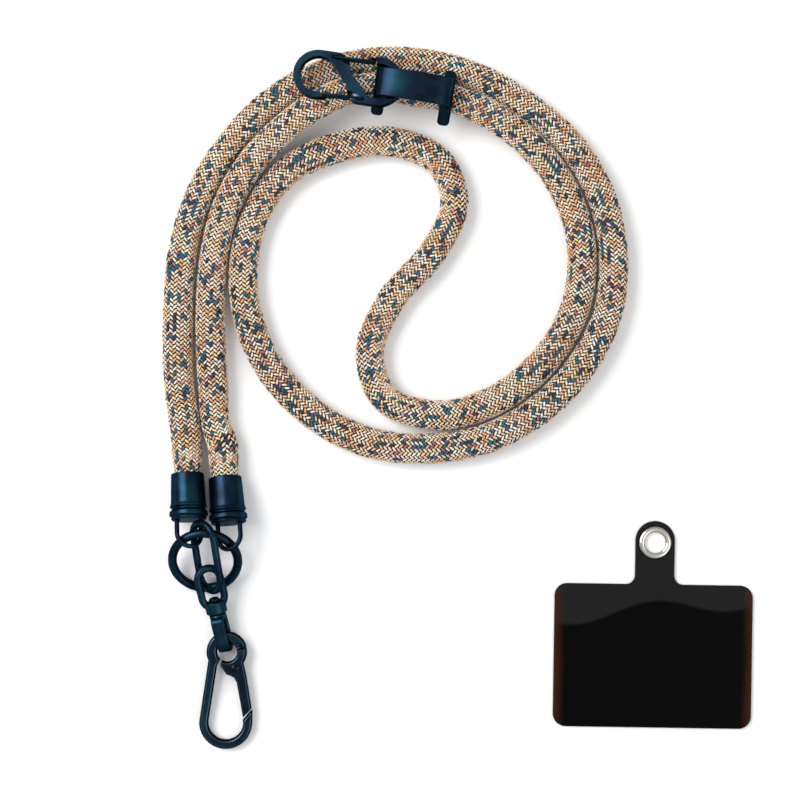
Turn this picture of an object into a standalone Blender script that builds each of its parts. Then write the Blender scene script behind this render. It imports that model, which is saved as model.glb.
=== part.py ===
"""A phone crossbody strap laid out flat.

A braided rope runs in a double spiral between two end caps. Each cap has a wire bail on one
shared O ring, which carries an oval link, a swivel and a snap hook. A bridge shaped slider
and a double gated clip ride on the inner turn. The phone pad lies beside them.
Lengths are named in millimetres and made in metres. X runs right, Y up the layout, Z up.
"""
import math

import bmesh
import bpy
from mathutils import Matrix, Vector

MM = 0.001
GAP = 0.3                      # running gap between pieces that touch

# Rope
ROPE_D = 9.6
ROPE_CAP_SHARE = 0.87          # how far the caps squeeze the rope
ROPE_SLIDER_SHARE = 0.89       # how far the slider squeezes it
ROPE_TUBE_POINTS = 80
ROPE_BEND_WEIGHT = 22.0        # millimetres that each radian of bend counts as
SPLINE_STEPS = 24

# End caps
CAP_LENGTH = 14.6
CAP_BEAD_R = 6.0
CAP_MOUTH_R = 5.15
CAP_BORE_R = ROPE_D / 2 * ROPE_CAP_SHARE + GAP
CAP_BORE_DEPTH = 10.8
CAP_PITCH = 11.49
CAP_SIDES = 24

# Bails
BAIL_WIRE = 1.5
BAIL_HALF_WIDTH = 4.0
BAIL_SEAT_DEPTH = 1.3

# O ring
RING_OD = 23.2
RING_WIRE = 2.8
RING_TILT = 30.45

# Oval link
LINK_WIRE = 2.3
LINK_LENGTH = 24.42
LINK_WIDTH = 12.0

# Swivel
SWIVEL_HEADING = -77.0
SWIVEL_PITCH = -9.0
EYE_WIRE = 2.4
EYE_LENGTH = 15.0
EYE_WIDTH = 9.5
BARREL_R = 3.3
BARREL_LENGTH = 3.8
STEM_R = 1.1
STEM_HEAD_R = 1.6
STEM_HEAD_LENGTH = 1.0
NECK_R = 2.65
NECK_LENGTH = 1.5
LOOP_REACH = 14.6              # barrel centre to the loop's far end
LOOP_HALF_HEIGHT = 4.0
LOOP_BAND = 1.6
LOOP_WIDTH = 4.0
LOOP_ROLL = 98.0

# Snap hook
HOOK_THICK = 3.2
HOOK_TILT = 4.5
HOOK_EYE_R = 6.375
HOOK_EYE_HOLE_R = 3.1
HOOK_BOW_R = 8.3
HOOK_BOW_BAND = 2.86
HOOK_BOW_DROP = 22.4           # eye centre to bow centre
HOOK_BOW_SHIFT = -0.5
HOOK_PIVOT = (2.6, -5.06)
HOOK_PIVOT_R = 0.85
HOOK_TONGUE = 1.0              # thickness of the plate inside the gate
HOOK_RIM = 0.75                # rounding of the edges
GATE_TOP_R = 5.9

# Double gated clip
CLIP_THICK = 3.0
CLIP_LOOP_R = 5.6
CLIP_BAND = 2.0
CLIP_LOOP_X = 9.45
CLIP_LOOP_Y = 1.35
CLIP_RIM = 0.6
CLIP_PITCH = 4.5
CLIP_ROLL = -10.0
CLIP_POCKET = 0.9              # depth of the recess over each gate pivot
CLIP_WIRE = 0.8
CLIP_GATE_LENGTH = 12.6
CLIP_LIP = 1.7
CLIP_PIVOT = (-4.5, 6.75)
CLIP_GATE_ANGLE = -7.7
CLIP_GATE_SWING = 15.0

# Slider
SLIDER_COLLAR_R = 5.8
SLIDER_BORE_R = ROPE_D / 2 * ROPE_SLIDER_SHARE + GAP + 0.05
SLIDER_HALF_LENGTH = 12.3
SLIDER_FLANGE = 3.8
SLIDER_WING = 8.6
SLIDER_WING_TIP_R = 1.5
SLIDER_STRIP_WIDTH = 8.8
SLIDER_STRIP_SHIFT = 0.85      # the strip sits nearer the clip than the bore does
SLIDER_STRIP = 1.5
SLIDER_ARCH_BASE = 4.9         # rope axis to the arch's springing line
SLIDER_ARCH_RISE = 6.9
SLIDER_ARCH_STEPS = 20
SLIDER_ARCH_SQUARENESS = 0.65  # under 1 makes the arch flatter on top than an ellipse
SLIDER_HEADING = -9.0
SLIDER_Z = 11.2

# Phone pad
PAD_LENGTH = 62.3
PAD_WIDTH = 45.0
PAD_THICK = 1.2
PAD_CORNER_R = 4.0
PAD_TURN = -0.9
TONGUE_WIDTH = 12.4
TONGUE_LENGTH = 19.9
TONGUE_SHIFT = 0.2
TONGUE_FILLET = 2.8
GROMMET_OD = 10.2
GROMMET_HOLE_D = 6.4
GROMMET_FLANGE = 0.25
GROMMET_NECK_R = 3.9
GROMMET_INSET = 6.8            # tongue tip to grommet centre

# Places in the layout, from its centre: x, y and height
CAP_LEFT_END = (-65.66, -37.39, 8.81)
BAIL_RIGHT_TIP = (-52.47, -46.75, 12.40)   # the bow's far side, round the ring
RING_BOTTOM = (-60.78, -60.31)
LINK_PLACE = (-60.08, -48.78, 9.6)
BARREL_PLACE = (-57.49, -64.60, 6.0)
HOOK_PLACE = (-54.13, -78.75, 4.06)
CLIP_PLACE = (-15.85, 98.95, 16.45)
SLIDER_PLACE = (4.25, 95.2, SLIDER_Z)
PAD_PLACE = (79.4, -80.4)

# Headings, pitches and rolls of the pieces on the ring, in degrees
CAP_LEFT_HEADING = -87.3
CAP_RIGHT_HEADING = -84.5
BAIL_LEFT = {"length": 9.28, "pitch": 23.33, "roll": -27.6}
BAIL_RIGHT = {"length": 9.1, "pitch": 23.25, "roll": 26.25}
LINK_TURN = (-82.0, -14.09, 47.0)
EYE_ROLL = -12.0

# Rope route between the caps: x, y, lift off the surface, and thickness share
ROPE_ROUTE = [
    (-69.2, 6.3, 0.0, 0.99), (-69.4, 25.0, 0.0, 0.99), (-67.9, 46.9, 0.0, 0.96),
    (-62.2, 65.4, 0.0, 0.93), (-51.0, 82.6, 0.0, 0.93), (-34.7, 96.9, 0.0, 0.94),
    (-15.6, 104.6, 0.0, 0.95), (3.1, 105.8, 0.0, 0.95), (21.9, 101.6, 0.0, 0.95),
    (39.4, 92.0, 0.0, 0.94), (54.1, 78.8, 0.0, 0.94), (63.5, 62.0, 0.0, 0.95),
    (66.7, 44.4, 0.0, 0.97), (65.3, 28.4, 0.0, 0.98), (57.8, 12.2, 0.0, 1.00),
    (45.0, -1.9, 0.0, 1.00), (28.3, -11.6, 0.0, 0.98), (8.8, -15.2, 0.0, 0.99),
    (-10.0, -13.1, 0.0, 1.00), (-27.5, -4.1, 0.0, 1.00), (-42.5, 13.1, 0.0, 1.00),
    (-48.8, 33.4, 0.0, 0.97), (-46.5, 54.3, 0.0, 0.93), (-36.6, 70.3, 0.0, 0.96),
    (-19.4, 78.9, 0.0, 1.00), (-1.3, 80.5, 0.0, 0.97), (12.5, 74.2, 0.0, 0.94),
    (17.0, 61.6, 0.0, 0.93), (10.3, 46.3, 0.0, 0.93), (-2.8, 31.3, 0.0, 0.93),
    (-9.5, 14.1, 0.0, 0.93), (-4.7, 0.6, 0.0, 0.94), (10.2, -4.7, 0.0, 0.98),
    (27.6, -1.0, 0.0, 0.98), (43.8, 10.9, 0.0, 0.98), (54.7, 28.8, 0.0, 0.97),
    (56.6, 49.1, 0.0, 0.96), (49.3, 68.8, 1.4, 0.95), (36.1, 83.4, 3.2, 0.95),
    (21.4, 91.7, 5.3, 0.94),
]
ROPE_ROUTE_HOME = [
    (-17.1, 95.7, 5.6, 0.94), (-30.4, 88.8, 4.6, 0.94), (-39.2, 81.7, 3.9, 0.93),
    (-46.8, 73.3, 3.1, 0.92), (-53.8, 61.2, 2.0, 0.92), (-58.0, 45.6, 0.8, 0.92),
    (-59.3, 29.7, 0.1, 0.96), (-58.5, 6.3, 0.0, 0.99), (-56.5, -10.9, 0.0, 0.98),
]
ROPE_LEAD = 5.0                # straight rope outside each cap's mouth
ROPE_SETTLE = 12.0             # from the mouth to where the rope lies flat


def clear_scene():
    for item in list(bpy.data.objects):
        bpy.data.objects.remove(item, do_unlink=True)


def make_material(name, colour, roughness, metallic):
    material = bpy.data.materials.new(name)
    material.use_nodes = True
    shader = material.node_tree.nodes["Principled BSDF"]
    shader.inputs["Base Color"].default_value = (*colour, 1.0)
    shader.inputs["Roughness"].default_value = roughness
    shader.inputs["Metallic"].default_value = metallic
    return material


def frame(place, heading, pitch=0.0, roll=0.0):
    """A place in millimetres, X turned to a heading, raised by pitch, then rolled about X."""
    turn = Matrix.Rotation(math.radians(heading), 4, "Z")
    rise = Matrix.Rotation(-math.radians(pitch), 4, "Y")
    tip = Matrix.Rotation(math.radians(roll), 4, "X")
    return Matrix.Translation(Vector(place) * MM) @ turn @ rise @ tip


def along(matrix, x, y=0.0, z=0.0):
    """A point given in millimetres in a frame, as world millimetres."""
    return matrix @ (Vector((x, y, z)) * MM) / MM


def arc(cx, cy, radius, start, end, steps):
    """Points of an arc, in degrees, both ends included."""
    points = []
    for step in range(steps + 1):
        angle = math.radians(start + (end - start) * step / steps)
        points.append((cx + radius * math.cos(angle), cy + radius * math.sin(angle)))
    return points


def add_object(name, mesh, material, matrix):
    item = bpy.data.objects.new(name, mesh)
    bpy.context.scene.collection.objects.link(item)
    item.matrix_world = matrix
    item.data.materials.append(material)
    return item


def finish_mesh(name, bm, material, matrix, sharp=35.0):
    bmesh.ops.remove_doubles(bm, verts=bm.verts, dist=0.000001)
    bmesh.ops.recalc_face_normals(bm, faces=bm.faces)
    mesh = bpy.data.meshes.new(name)
    bm.to_mesh(mesh)
    bm.free()
    mesh.shade_smooth()
    mesh.set_sharp_from_angle(angle=math.radians(sharp))
    return add_object(name, mesh, material, matrix)


def plate(name, outline, thickness, material, matrix, rim=0.0, base=None):
    """A flat plate of an outline, centred on its plane, with rounded upper and lower rims."""
    bm = bmesh.new()
    bottom = -thickness / 2 if base is None else base
    verts = [bm.verts.new((x * MM, y * MM, bottom * MM)) for x, y in outline]
    face = bm.faces.new(verts)
    grown = bmesh.ops.extrude_face_region(bm, geom=[face])
    moved = [item for item in grown["geom"] if isinstance(item, bmesh.types.BMVert)]
    bmesh.ops.translate(bm, vec=(0, 0, thickness * MM), verts=moved)
    bmesh.ops.recalc_face_normals(bm, faces=bm.faces)
    if rim:
        edges = [edge for edge in bm.edges
                 if abs(edge.verts[0].co.z - edge.verts[1].co.z) < 0.00001]
        bmesh.ops.bevel(bm, geom=edges, offset=rim * MM, segments=1, profile=0.5,
                        affect="EDGES", clamp_overlap=True)
    return finish_mesh(name, bm, material, matrix)


def band(name, outer, inner, thickness, material, matrix, rim=0.0):
    """A closed flat band between two outlines with the same number of points."""
    bm = bmesh.new()
    rings = []
    for outline in (outer, inner):
        for side in (-0.5, 0.5):
            rings.append([bm.verts.new((x * MM, y * MM, side * thickness * MM))
                          for x, y in outline])
    outer_low, outer_high, inner_low, inner_high = rings
    count = len(outer)
    for a, b in ((outer_low, outer_high), (outer_high, inner_high),
                 (inner_high, inner_low), (inner_low, outer_low)):
        for i in range(count):
            j = (i + 1) % count
            bm.faces.new((a[i], a[j], b[j], b[i]))
    bmesh.ops.recalc_face_normals(bm, faces=bm.faces)
    if rim:
        edges = [edge for edge in bm.edges
                 if abs(edge.verts[0].co.z - edge.verts[1].co.z) < 0.00001
                 and edge.calc_face_angle(0.0) > 1.0]
        bmesh.ops.bevel(bm, geom=edges, offset=rim * MM, segments=1, profile=0.5,
                        affect="EDGES", clamp_overlap=True)
    return finish_mesh(name, bm, material, matrix)


def turned(name, profile, sides, material, matrix):
    """A solid spun about the frame's X axis from a profile of (x, radius) points."""
    bm = bmesh.new()
    verts = [bm.verts.new((x * MM, 0.0, radius * MM)) for x, radius in profile]
    edges = [bm.edges.new((verts[i], verts[i + 1])) for i in range(len(verts) - 1)]
    bmesh.ops.spin(bm, geom=verts + edges, axis=(1, 0, 0), cent=(0, 0, 0),
                   angle=math.tau, steps=sides, use_merge=True)
    return finish_mesh(name, bm, material, matrix)


def wire(name, points, diameter, closed, material, matrix, resolution=2, shares=None):
    """A round wire through points in millimetres, closed on itself or with filled ends."""
    curve = bpy.data.curves.new(name, "CURVE")
    curve.dimensions = "3D"
    curve.twist_mode = "MINIMUM"
    curve.bevel_depth = diameter / 2 * MM
    curve.bevel_resolution = resolution
    curve.use_fill_caps = not closed
    curve.render_resolution_u = 0
    spline = curve.splines.new("POLY")
    spline.points.add(len(points) - 1)
    for index, point in enumerate(points):
        spline.points[index].co = (*(Vector(point) * MM), 1.0)
        if shares:
            spline.points[index].radius = shares[index]
    spline.use_cyclic_u = closed
    spline.use_smooth = True
    return add_object(name, curve, material, matrix)


def loop_tube(name, points, diameter, material, matrix, sides=10):
    """A closed round wire as a mesh, through points of a flat loop in the frame's plane."""
    bm = bmesh.new()
    count = len(points)
    rings = []
    for i in range(count):
        x, y = points[i]
        ahead = points[(i + 1) % count]
        behind = points[i - 1]
        run = Vector((ahead[0] - behind[0], ahead[1] - behind[1])).normalized()
        ring = []
        for side in range(sides):
            angle = math.tau * (side + 0.5) / sides
            out = diameter / 2 * math.cos(angle)
            height = diameter / 2 * math.sin(angle)
            ring.append(bm.verts.new(((x + run.y * out) * MM, (y - run.x * out) * MM,
                                      height * MM)))
        rings.append(ring)
    for i in range(count):
        a, b = rings[i], rings[(i + 1) % count]
        for side in range(sides):
            j = (side + 1) % sides
            bm.faces.new((a[side], b[side], b[j], a[j]))
    return finish_mesh(name, bm, material, matrix)


def hide_helper(item):
    item.hide_render = True
    item.display_type = "WIRE"


def combine(target, helper, operation):
    modifier = target.modifiers.new(helper.name, "BOOLEAN")
    modifier.operation = operation
    modifier.object = helper
    hide_helper(helper)


def smooth_route(points, kept, steps):
    """A smooth curve through points, as points along it that include the kept ones.

    The points are closer together where the curve bends."""
    chords = [(b - a) / (b.xyz - a.xyz).length for a, b in zip(points, points[1:])]
    spans = [(b.xyz - a.xyz).length for a, b in zip(points, points[1:])]
    slopes = [chords[0]]
    for i in range(1, len(points) - 1):
        share = spans[i - 1] / (spans[i - 1] + spans[i])
        slopes.append(chords[i - 1].lerp(chords[i], share))
    slopes.append(chords[-1])
    fine = []
    for i, span in enumerate(spans):
        start, end = points[i], points[i + 1]
        for step in range(SPLINE_STEPS):
            t = step / SPLINE_STEPS
            rest = 1 - t
            fine.append(start * (1 + 2 * t) * rest * rest + end * (3 - 2 * t) * t * t
                        + slopes[i] * span * t * rest * rest
                        - slopes[i + 1] * span * t * t * rest)
    fine.append(points[-1])
    reach = [0.0, (fine[1].xyz - fine[0].xyz).length]
    for a, b, c in zip(fine, fine[1:], fine[2:]):
        turn = (b.xyz - a.xyz).angle(c.xyz - b.xyz)
        reach.append(reach[-1] + (c.xyz - b.xyz).length + turn * ROPE_BEND_WEIGHT)
    stops = [reach[i * SPLINE_STEPS] for i in kept]
    spaced = [fine[0]]
    index = 0
    for begin, finish in zip(stops, stops[1:]):
        count = max(1, round(steps * (finish - begin) / reach[-1]))
        for step in range(1, count + 1):
            want = begin + (finish - begin) * step / count
            while index < len(fine) - 2 and reach[index + 1] < want:
                index += 1
            share = (want - reach[index]) / (reach[index + 1] - reach[index])
            spaced.append(fine[index].lerp(fine[index + 1], min(1.0, share)))
    return spaced


def flat(points):
    return [(x, y, 0.0) for x, y in points]


def lying(x, y, lift, share):
    """A point of the rope's axis where the rope lies on the surface, or a lift above it."""
    return Vector((x, y, ROPE_D / 2 * share + 0.05 + lift, share))


def rope_end(cap):
    """The rope's axis from inside a cap to where it lies flat outside."""
    inside = CAP_BORE_DEPTH - GAP
    x, y, _ = along(cap, -ROPE_SETTLE)
    return [Vector((*along(cap, inside), ROPE_CAP_SHARE)),
            Vector((*along(cap, -0.5), ROPE_CAP_SHARE)),
            Vector((*along(cap, -ROPE_LEAD), 0.97)), lying(x, y, 0.0, 1.0)]


def make_rope(material, caps, slider):
    """The rope as a plain tube from inside one cap, through the slider, into the other."""
    left, right = caps
    points = rope_end(left)
    points += [lying(*row) for row in ROPE_ROUTE]
    entry = len(points)
    hold = SLIDER_HALF_LENGTH + 0.5
    points += [Vector((*along(slider, x), ROPE_SLIDER_SHARE)) for x in (hold, 0.0, -hold)]
    points += [lying(*row) for row in ROPE_ROUTE_HOME]
    points += reversed(rope_end(right))
    last = len(points) - 1
    kept = [0, 1, 2, entry, entry + 2, last - 2, last - 1, last]
    tube = smooth_route(points, kept, ROPE_TUBE_POINTS)
    return wire("rope", [p.xyz for p in tube], ROPE_D, False, material, Matrix.Identity(4),
                resolution=3, shares=[p.w for p in tube])


def make_cap(name, material, cap_frame, bail_frame):
    """A turned cup with a ringed bead at its closed end, drilled for the bail's legs."""
    length = CAP_LENGTH
    groove_r = CAP_BEAD_R - 0.75
    shank_r = CAP_MOUTH_R + 0.3
    end_r = CAP_BEAD_R - 0.45
    profile = [
        (CAP_BORE_DEPTH, 0.0), (CAP_BORE_DEPTH, CAP_BORE_R), (0.25, CAP_BORE_R),
        (0.0, CAP_BORE_R + 0.2), (0.0, CAP_MOUTH_R - 0.25), (0.3, CAP_MOUTH_R),
        (length * 0.62, shank_r), (length * 0.70, CAP_BEAD_R - 0.2), (length * 0.74, groove_r),
        (length * 0.78, groove_r), (length * 0.82, CAP_BEAD_R), (length * 0.90, CAP_BEAD_R),
        (length * 0.93, CAP_BEAD_R - 0.35), (length - 0.4, end_r), (length, end_r - 0.4),
        (length, 0.0),
    ]
    cap = turned(name, profile, CAP_SIDES, material, cap_frame)
    hole_r = BAIL_WIRE / 2 + GAP
    for side in (-1, 1):
        start = along(bail_frame, -BAIL_SEAT_DEPTH - GAP, side * BAIL_HALF_WIDTH)
        hole_frame = bail_frame.copy()
        hole_frame.translation = start * MM
        reach = BAIL_SEAT_DEPTH + 4.0
        drill = turned(f"{name}_drill_{'near' if side < 0 else 'far'}",
                       [(0.0, 0.0), (0.0, hole_r), (reach, hole_r), (reach, 0.0)], 12,
                       material, hole_frame)
        combine(cap, drill, "DIFFERENCE")
    return cap


def make_bail(name, material, bail_frame, length):
    """A U of wire with its two legs seated in the cap."""
    r = BAIL_HALF_WIDTH
    bow = length - BAIL_WIRE / 2 - r
    points = [(-BAIL_SEAT_DEPTH, -r), (bow / 2, -r)]
    points += arc(bow, 0.0, r, -90, 90, 14)
    points += [(bow / 2, r), (-BAIL_SEAT_DEPTH, r)]
    return wire(name, flat(points), BAIL_WIRE, False, material, bail_frame)


def make_ring(material):
    """The O ring that gathers both bails and the link, leaning up on the caps' side."""
    r = (RING_OD - RING_WIRE) / 2
    x, y = RING_BOTTOM
    tilt = math.radians(RING_TILT)
    centre = (x, y + RING_WIRE / 2 + r * math.cos(tilt), RING_WIRE / 2 + r * math.sin(tilt))
    matrix = frame(centre, 0.0, 0.0, RING_TILT)
    points = arc(0.0, 0.0, r, 0, 360, 40)[:-1]
    return wire("o_ring", flat(points), RING_WIRE, True, material, matrix)


def oval(length, width, steps):
    """The centreline of an oval with straight sides, along X."""
    r = width / 2
    straight = length / 2 - r
    return arc(straight, 0.0, r, -90, 90, steps) + arc(-straight, 0.0, r, 90, 270, steps)


def make_link(material):
    matrix = frame(LINK_PLACE, *LINK_TURN)
    points = oval(LINK_LENGTH - LINK_WIRE, LINK_WIDTH - LINK_WIRE, 12)
    return wire("link", flat(points), LINK_WIRE, True, material, matrix)


def make_swivel_eye(material, axis):
    """The eye and its barrel, one casting, bored for the stem."""
    roll = Matrix.Rotation(math.radians(EYE_ROLL), 4, "X")
    loop = oval(EYE_LENGTH - EYE_WIRE, EYE_WIDTH - EYE_WIRE, 12)
    shift = EYE_LENGTH / 2 - EYE_WIRE / 2
    half = BARREL_LENGTH / 2
    chamfer = 0.4
    profile = [(-half, 0.0), (-half, BARREL_R - chamfer), (chamfer - half, BARREL_R),
               (half - chamfer, BARREL_R), (half, BARREL_R - chamfer), (half, 0.0)]
    barrel = turned("swivel_eye", profile, 20, material, axis @ roll)
    eye = loop_tube("swivel_eye_loop", [(x - shift, y) for x, y in loop], EYE_WIRE,
                    material, axis @ roll)
    bore_r = STEM_R + GAP
    bore = turned("swivel_eye_bore", [(-half - 1, 0.0), (-half - 1, bore_r),
                                      (half + 1, bore_r), (half + 1, 0.0)],
                  16, material, axis @ roll)
    combine(barrel, eye, "UNION")
    combine(barrel, bore, "DIFFERENCE")
    return barrel


def make_swivel_loop(material, axis):
    """The stem with its riveted head, the neck, and the strap shaped loop for the hook."""
    half = BARREL_LENGTH / 2
    head = -half - GAP
    neck = half + GAP
    tip = neck + NECK_LENGTH
    profile = [
        (head - STEM_HEAD_LENGTH, 0.0), (head - STEM_HEAD_LENGTH, STEM_HEAD_R * 0.5),
        (head - STEM_HEAD_LENGTH * 0.5, STEM_HEAD_R), (head, STEM_HEAD_R), (head, STEM_R),
        (neck, STEM_R), (neck, NECK_R - 0.3), (neck + 0.3, NECK_R), (tip - 0.2, NECK_R),
        (tip + 0.2, NECK_R - 0.4), (tip + 0.2, 0.0),
    ]
    stem = turned("swivel_loop", profile, 20, material, axis)
    outer_r = LOOP_HALF_HEIGHT
    inner_r = outer_r - LOOP_BAND
    far = LOOP_REACH - outer_r
    corner = 1.8
    near = tip - 0.9
    steps = 10
    outer = arc(far, 0.0, outer_r, -90, 90, steps)
    outer += arc(near + corner, outer_r - corner, corner, 90, 180, 4)
    outer += arc(near + corner, corner - outer_r, corner, 180, 270, 4)
    near_in = near + LOOP_BAND
    tight = 0.5
    inner = arc(far, 0.0, inner_r, -90, 90, steps)
    inner += arc(near_in + tight, inner_r - tight, tight, 90, 180, 4)
    inner += arc(near_in + tight, tight - inner_r, tight, 180, 270, 4)
    turn = Matrix.Rotation(math.radians(LOOP_ROLL), 4, "X")
    strap = band("swivel_strap", outer, inner, LOOP_WIDTH, material, axis @ turn, rim=0.4)
    combine(stem, strap, "UNION")
    return stem


def hook_body_outline():
    """The eye from its seam round to the left, the rail, the bow and the stub."""
    bow_x, bow_y = HOOK_BOW_SHIFT, -HOOK_BOW_DROP
    inner_r = HOOK_BOW_R - HOOK_BOW_BAND
    seam = 19.0
    points = arc(0.0, 0.0, HOOK_EYE_R, seam, 204, 22)
    points += arc(bow_x, bow_y, HOOK_BOW_R, 177, 360, 22)
    points += [(HOOK_BOW_R + bow_x + 0.1, bow_y + 4.2)]
    points += arc(bow_x, bow_y, inner_r, 10, -187, 20)
    points += [(-3.1, -4.4)]
    points += arc(0.0, 0.0, HOOK_EYE_HOLE_R, 228, seam + 2, 20)
    return points


def gate_outline():
    """The gate's lever with the claw that closes the eye from below."""
    claw_r = HOOK_EYE_HOLE_R + 0.1
    points = arc(0.0, 0.0, claw_r, 239, 375, 16)
    points += arc(0.0, 0.0, GATE_TOP_R, 15, -32, 6)
    points += [(6.2, -8.8), (7.6, -17.85), (4.95, -20.7), (4.05, -15.4), (3.0, -9.5),
               (2.1, -7.9), (-0.2, -7.0), (-2.0, -4.3)]
    return points


def make_hook(material, matrix):
    """A cast snap hook: body with a thin tongue, sprung gate, and the rivet through both."""
    body = plate("hook_body", hook_body_outline(), HOOK_THICK, material, matrix, rim=HOOK_RIM)
    pivot_x, pivot_y = HOOK_PIVOT
    tongue = arc(0.0, 0.0, HOOK_EYE_R - 0.1, 34, -44, 10)
    tongue += arc(pivot_x, pivot_y, 1.9, -60, -190, 8)
    tongue += arc(0.0, 0.0, HOOK_EYE_HOLE_R + 0.9, -62, 34, 8)
    core = plate("hook_tongue", tongue, HOOK_TONGUE, material, matrix)
    combine(body, core, "UNION")

    gate = plate("hook_gate", gate_outline(), HOOK_THICK, material, matrix, rim=HOOK_RIM * 0.8)
    slot = [(-3.4, 3.0), (-3.4, -7.3), (7.6, -7.3), (7.6, 3.0)]
    slot_cut = plate("hook_gate_slot", slot, HOOK_TONGUE + 2 * GAP, material, matrix)
    combine(gate, slot_cut, "DIFFERENCE")

    pivot = matrix @ Matrix.Translation((pivot_x * MM, pivot_y * MM, 0.0))
    upright = pivot @ Matrix.Rotation(-math.pi / 2, 4, "Y")
    half = HOOK_THICK / 2
    hole_r = HOOK_PIVOT_R + GAP
    for target, label in ((body, "body"), (gate, "gate")):
        drill = turned(f"hook_{label}_drill", [(-half - 1, 0.0), (-half - 1, hole_r),
                                               (half + 1, hole_r), (half + 1, 0.0)],
                       16, material, upright)
        combine(target, drill, "DIFFERENCE")
    dome = 0.15
    rivet = [(-half - dome, 0.0), (-half - dome, HOOK_PIVOT_R * 0.6), (-half, HOOK_PIVOT_R),
             (half, HOOK_PIVOT_R), (half + dome, HOOK_PIVOT_R * 0.6), (half + dome, 0.0)]
    turned("hook_rivet", rivet, 16, material, upright)
    return body, gate


def clip_half_outline():
    """Half of the clip's outline: one open loop and its share of the slanted web.

    The loop ends in a thin lip that the other gate's end bar closes against."""
    x, y = -CLIP_LOOP_X, CLIP_LOOP_Y
    outer_r = CLIP_LOOP_R + CLIP_BAND
    turn = math.radians(CLIP_GATE_ANGLE)
    room = CLIP_WIRE / 2 + GAP
    bar_x = CLIP_GATE_LENGTH * math.cos(turn) + CLIP_PIVOT[0]
    bar_y = CLIP_GATE_LENGTH * math.sin(turn) + CLIP_PIVOT[1]
    nose_x = -bar_x - room
    lip_y = -bar_y - room + CLIP_LIP * math.sin(turn)
    start = 270 + math.degrees(math.asin((nose_x - x) / CLIP_LOOP_R))
    lip_x = nose_x + CLIP_LIP
    points = [(-0.3, -5.6), (-0.75, -1.5), (-2.9, 1.3)]
    points += arc(x, y, CLIP_LOOP_R, 44, start, 20)
    points += [(nose_x, lip_y), (lip_x, lip_y), (lip_x, y - outer_r + 0.15)]
    points += arc(x, y, outer_r, start, 82, 22)
    points += [(-2.25, y + outer_r - 1.1), (-0.25, 6.6)]
    return points


def clip_pocket_outline():
    """The recess over a gate's pivot, as wide as the wire sweeps."""
    x, y = CLIP_PIVOT
    half = CLIP_WIRE / 2 + GAP
    reach = 6.4
    start = CLIP_GATE_ANGLE - CLIP_GATE_SWING
    points = arc(x, y, half, CLIP_GATE_ANGLE + 90, CLIP_GATE_ANGLE + 270 - 20, 8)
    for angle in (start, CLIP_GATE_ANGLE):
        turn = math.radians(angle)
        side = math.radians(angle + (90 if angle > start else -90))
        points.append((x + reach * math.cos(turn) + half * math.cos(side),
                       y + reach * math.sin(turn) + half * math.sin(side)))
    return points


def make_clip(material, matrix):
    """A flat figure of eight with an open loop at each end, each closed by a wire gate."""
    half = clip_half_outline()
    outline = half + [(-x, -y) for x, y in half]
    body = plate("s_clip_body", outline, CLIP_THICK, material, matrix, rim=CLIP_RIM)
    lip = CLIP_POCKET + 1.0
    hole_r = CLIP_WIRE / 2 + GAP
    leg_z = CLIP_THICK / 2 - CLIP_POCKET + GAP + CLIP_WIRE / 2
    half_turn = Matrix.Rotation(math.pi, 4, "Z")
    for label, turn in (("right", Matrix.Identity(4)), ("left", half_turn)):
        local = matrix @ turn
        for side, base in (("top", CLIP_THICK / 2 - CLIP_POCKET),
                           ("under", CLIP_POCKET - CLIP_THICK / 2 - lip)):
            pocket = plate(f"s_clip_pocket_{label}_{side}", clip_pocket_outline(), lip,
                           material, local, base=base)
            combine(body, pocket, "DIFFERENCE")
        px, py = CLIP_PIVOT
        upright = local @ Matrix.Translation((px * MM, py * MM, 0.0))
        upright = upright @ Matrix.Rotation(-math.pi / 2, 4, "Y")
        reach = CLIP_THICK
        drill = turned(f"s_clip_drill_{label}", [(-reach, 0.0), (-reach, hole_r),
                                                 (reach, hole_r), (reach, 0.0)],
                       12, material, upright)
        combine(body, drill, "DIFFERENCE")
        gate_frame = local @ Matrix.Translation((px * MM, py * MM, 0.0))
        gate_frame = gate_frame @ Matrix.Rotation(math.radians(CLIP_GATE_ANGLE), 4, "Z")
        corner = 0.45
        end = CLIP_GATE_LENGTH
        path = arc(corner, leg_z - corner, corner, 180, 90, 4)
        path += arc(end - corner, leg_z - corner, corner, 90, 0, 4)
        path += arc(end - corner, corner - leg_z, corner, 0, -90, 4)
        path += arc(corner, corner - leg_z, corner, -90, -180, 4)
        points = [(x, 0.0, z) for x, z in path]
        wire(f"s_clip_gate_{label}", points, CLIP_WIRE, True, material, gate_frame)
    return body


def arch(half_span, rise):
    """Points of the slider's arch over its springing line, from right to left."""
    points = []
    for step in range(SLIDER_ARCH_STEPS + 1):
        angle = math.pi * step / SLIDER_ARCH_STEPS
        across = abs(math.cos(angle)) ** SLIDER_ARCH_SQUARENESS
        up = math.sin(angle) ** SLIDER_ARCH_SQUARENESS if 0 < step < SLIDER_ARCH_STEPS else 0.0
        points.append((math.copysign(half_span * across, math.cos(angle)),
                       SLIDER_ARCH_BASE + rise * up))
    return points


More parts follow.
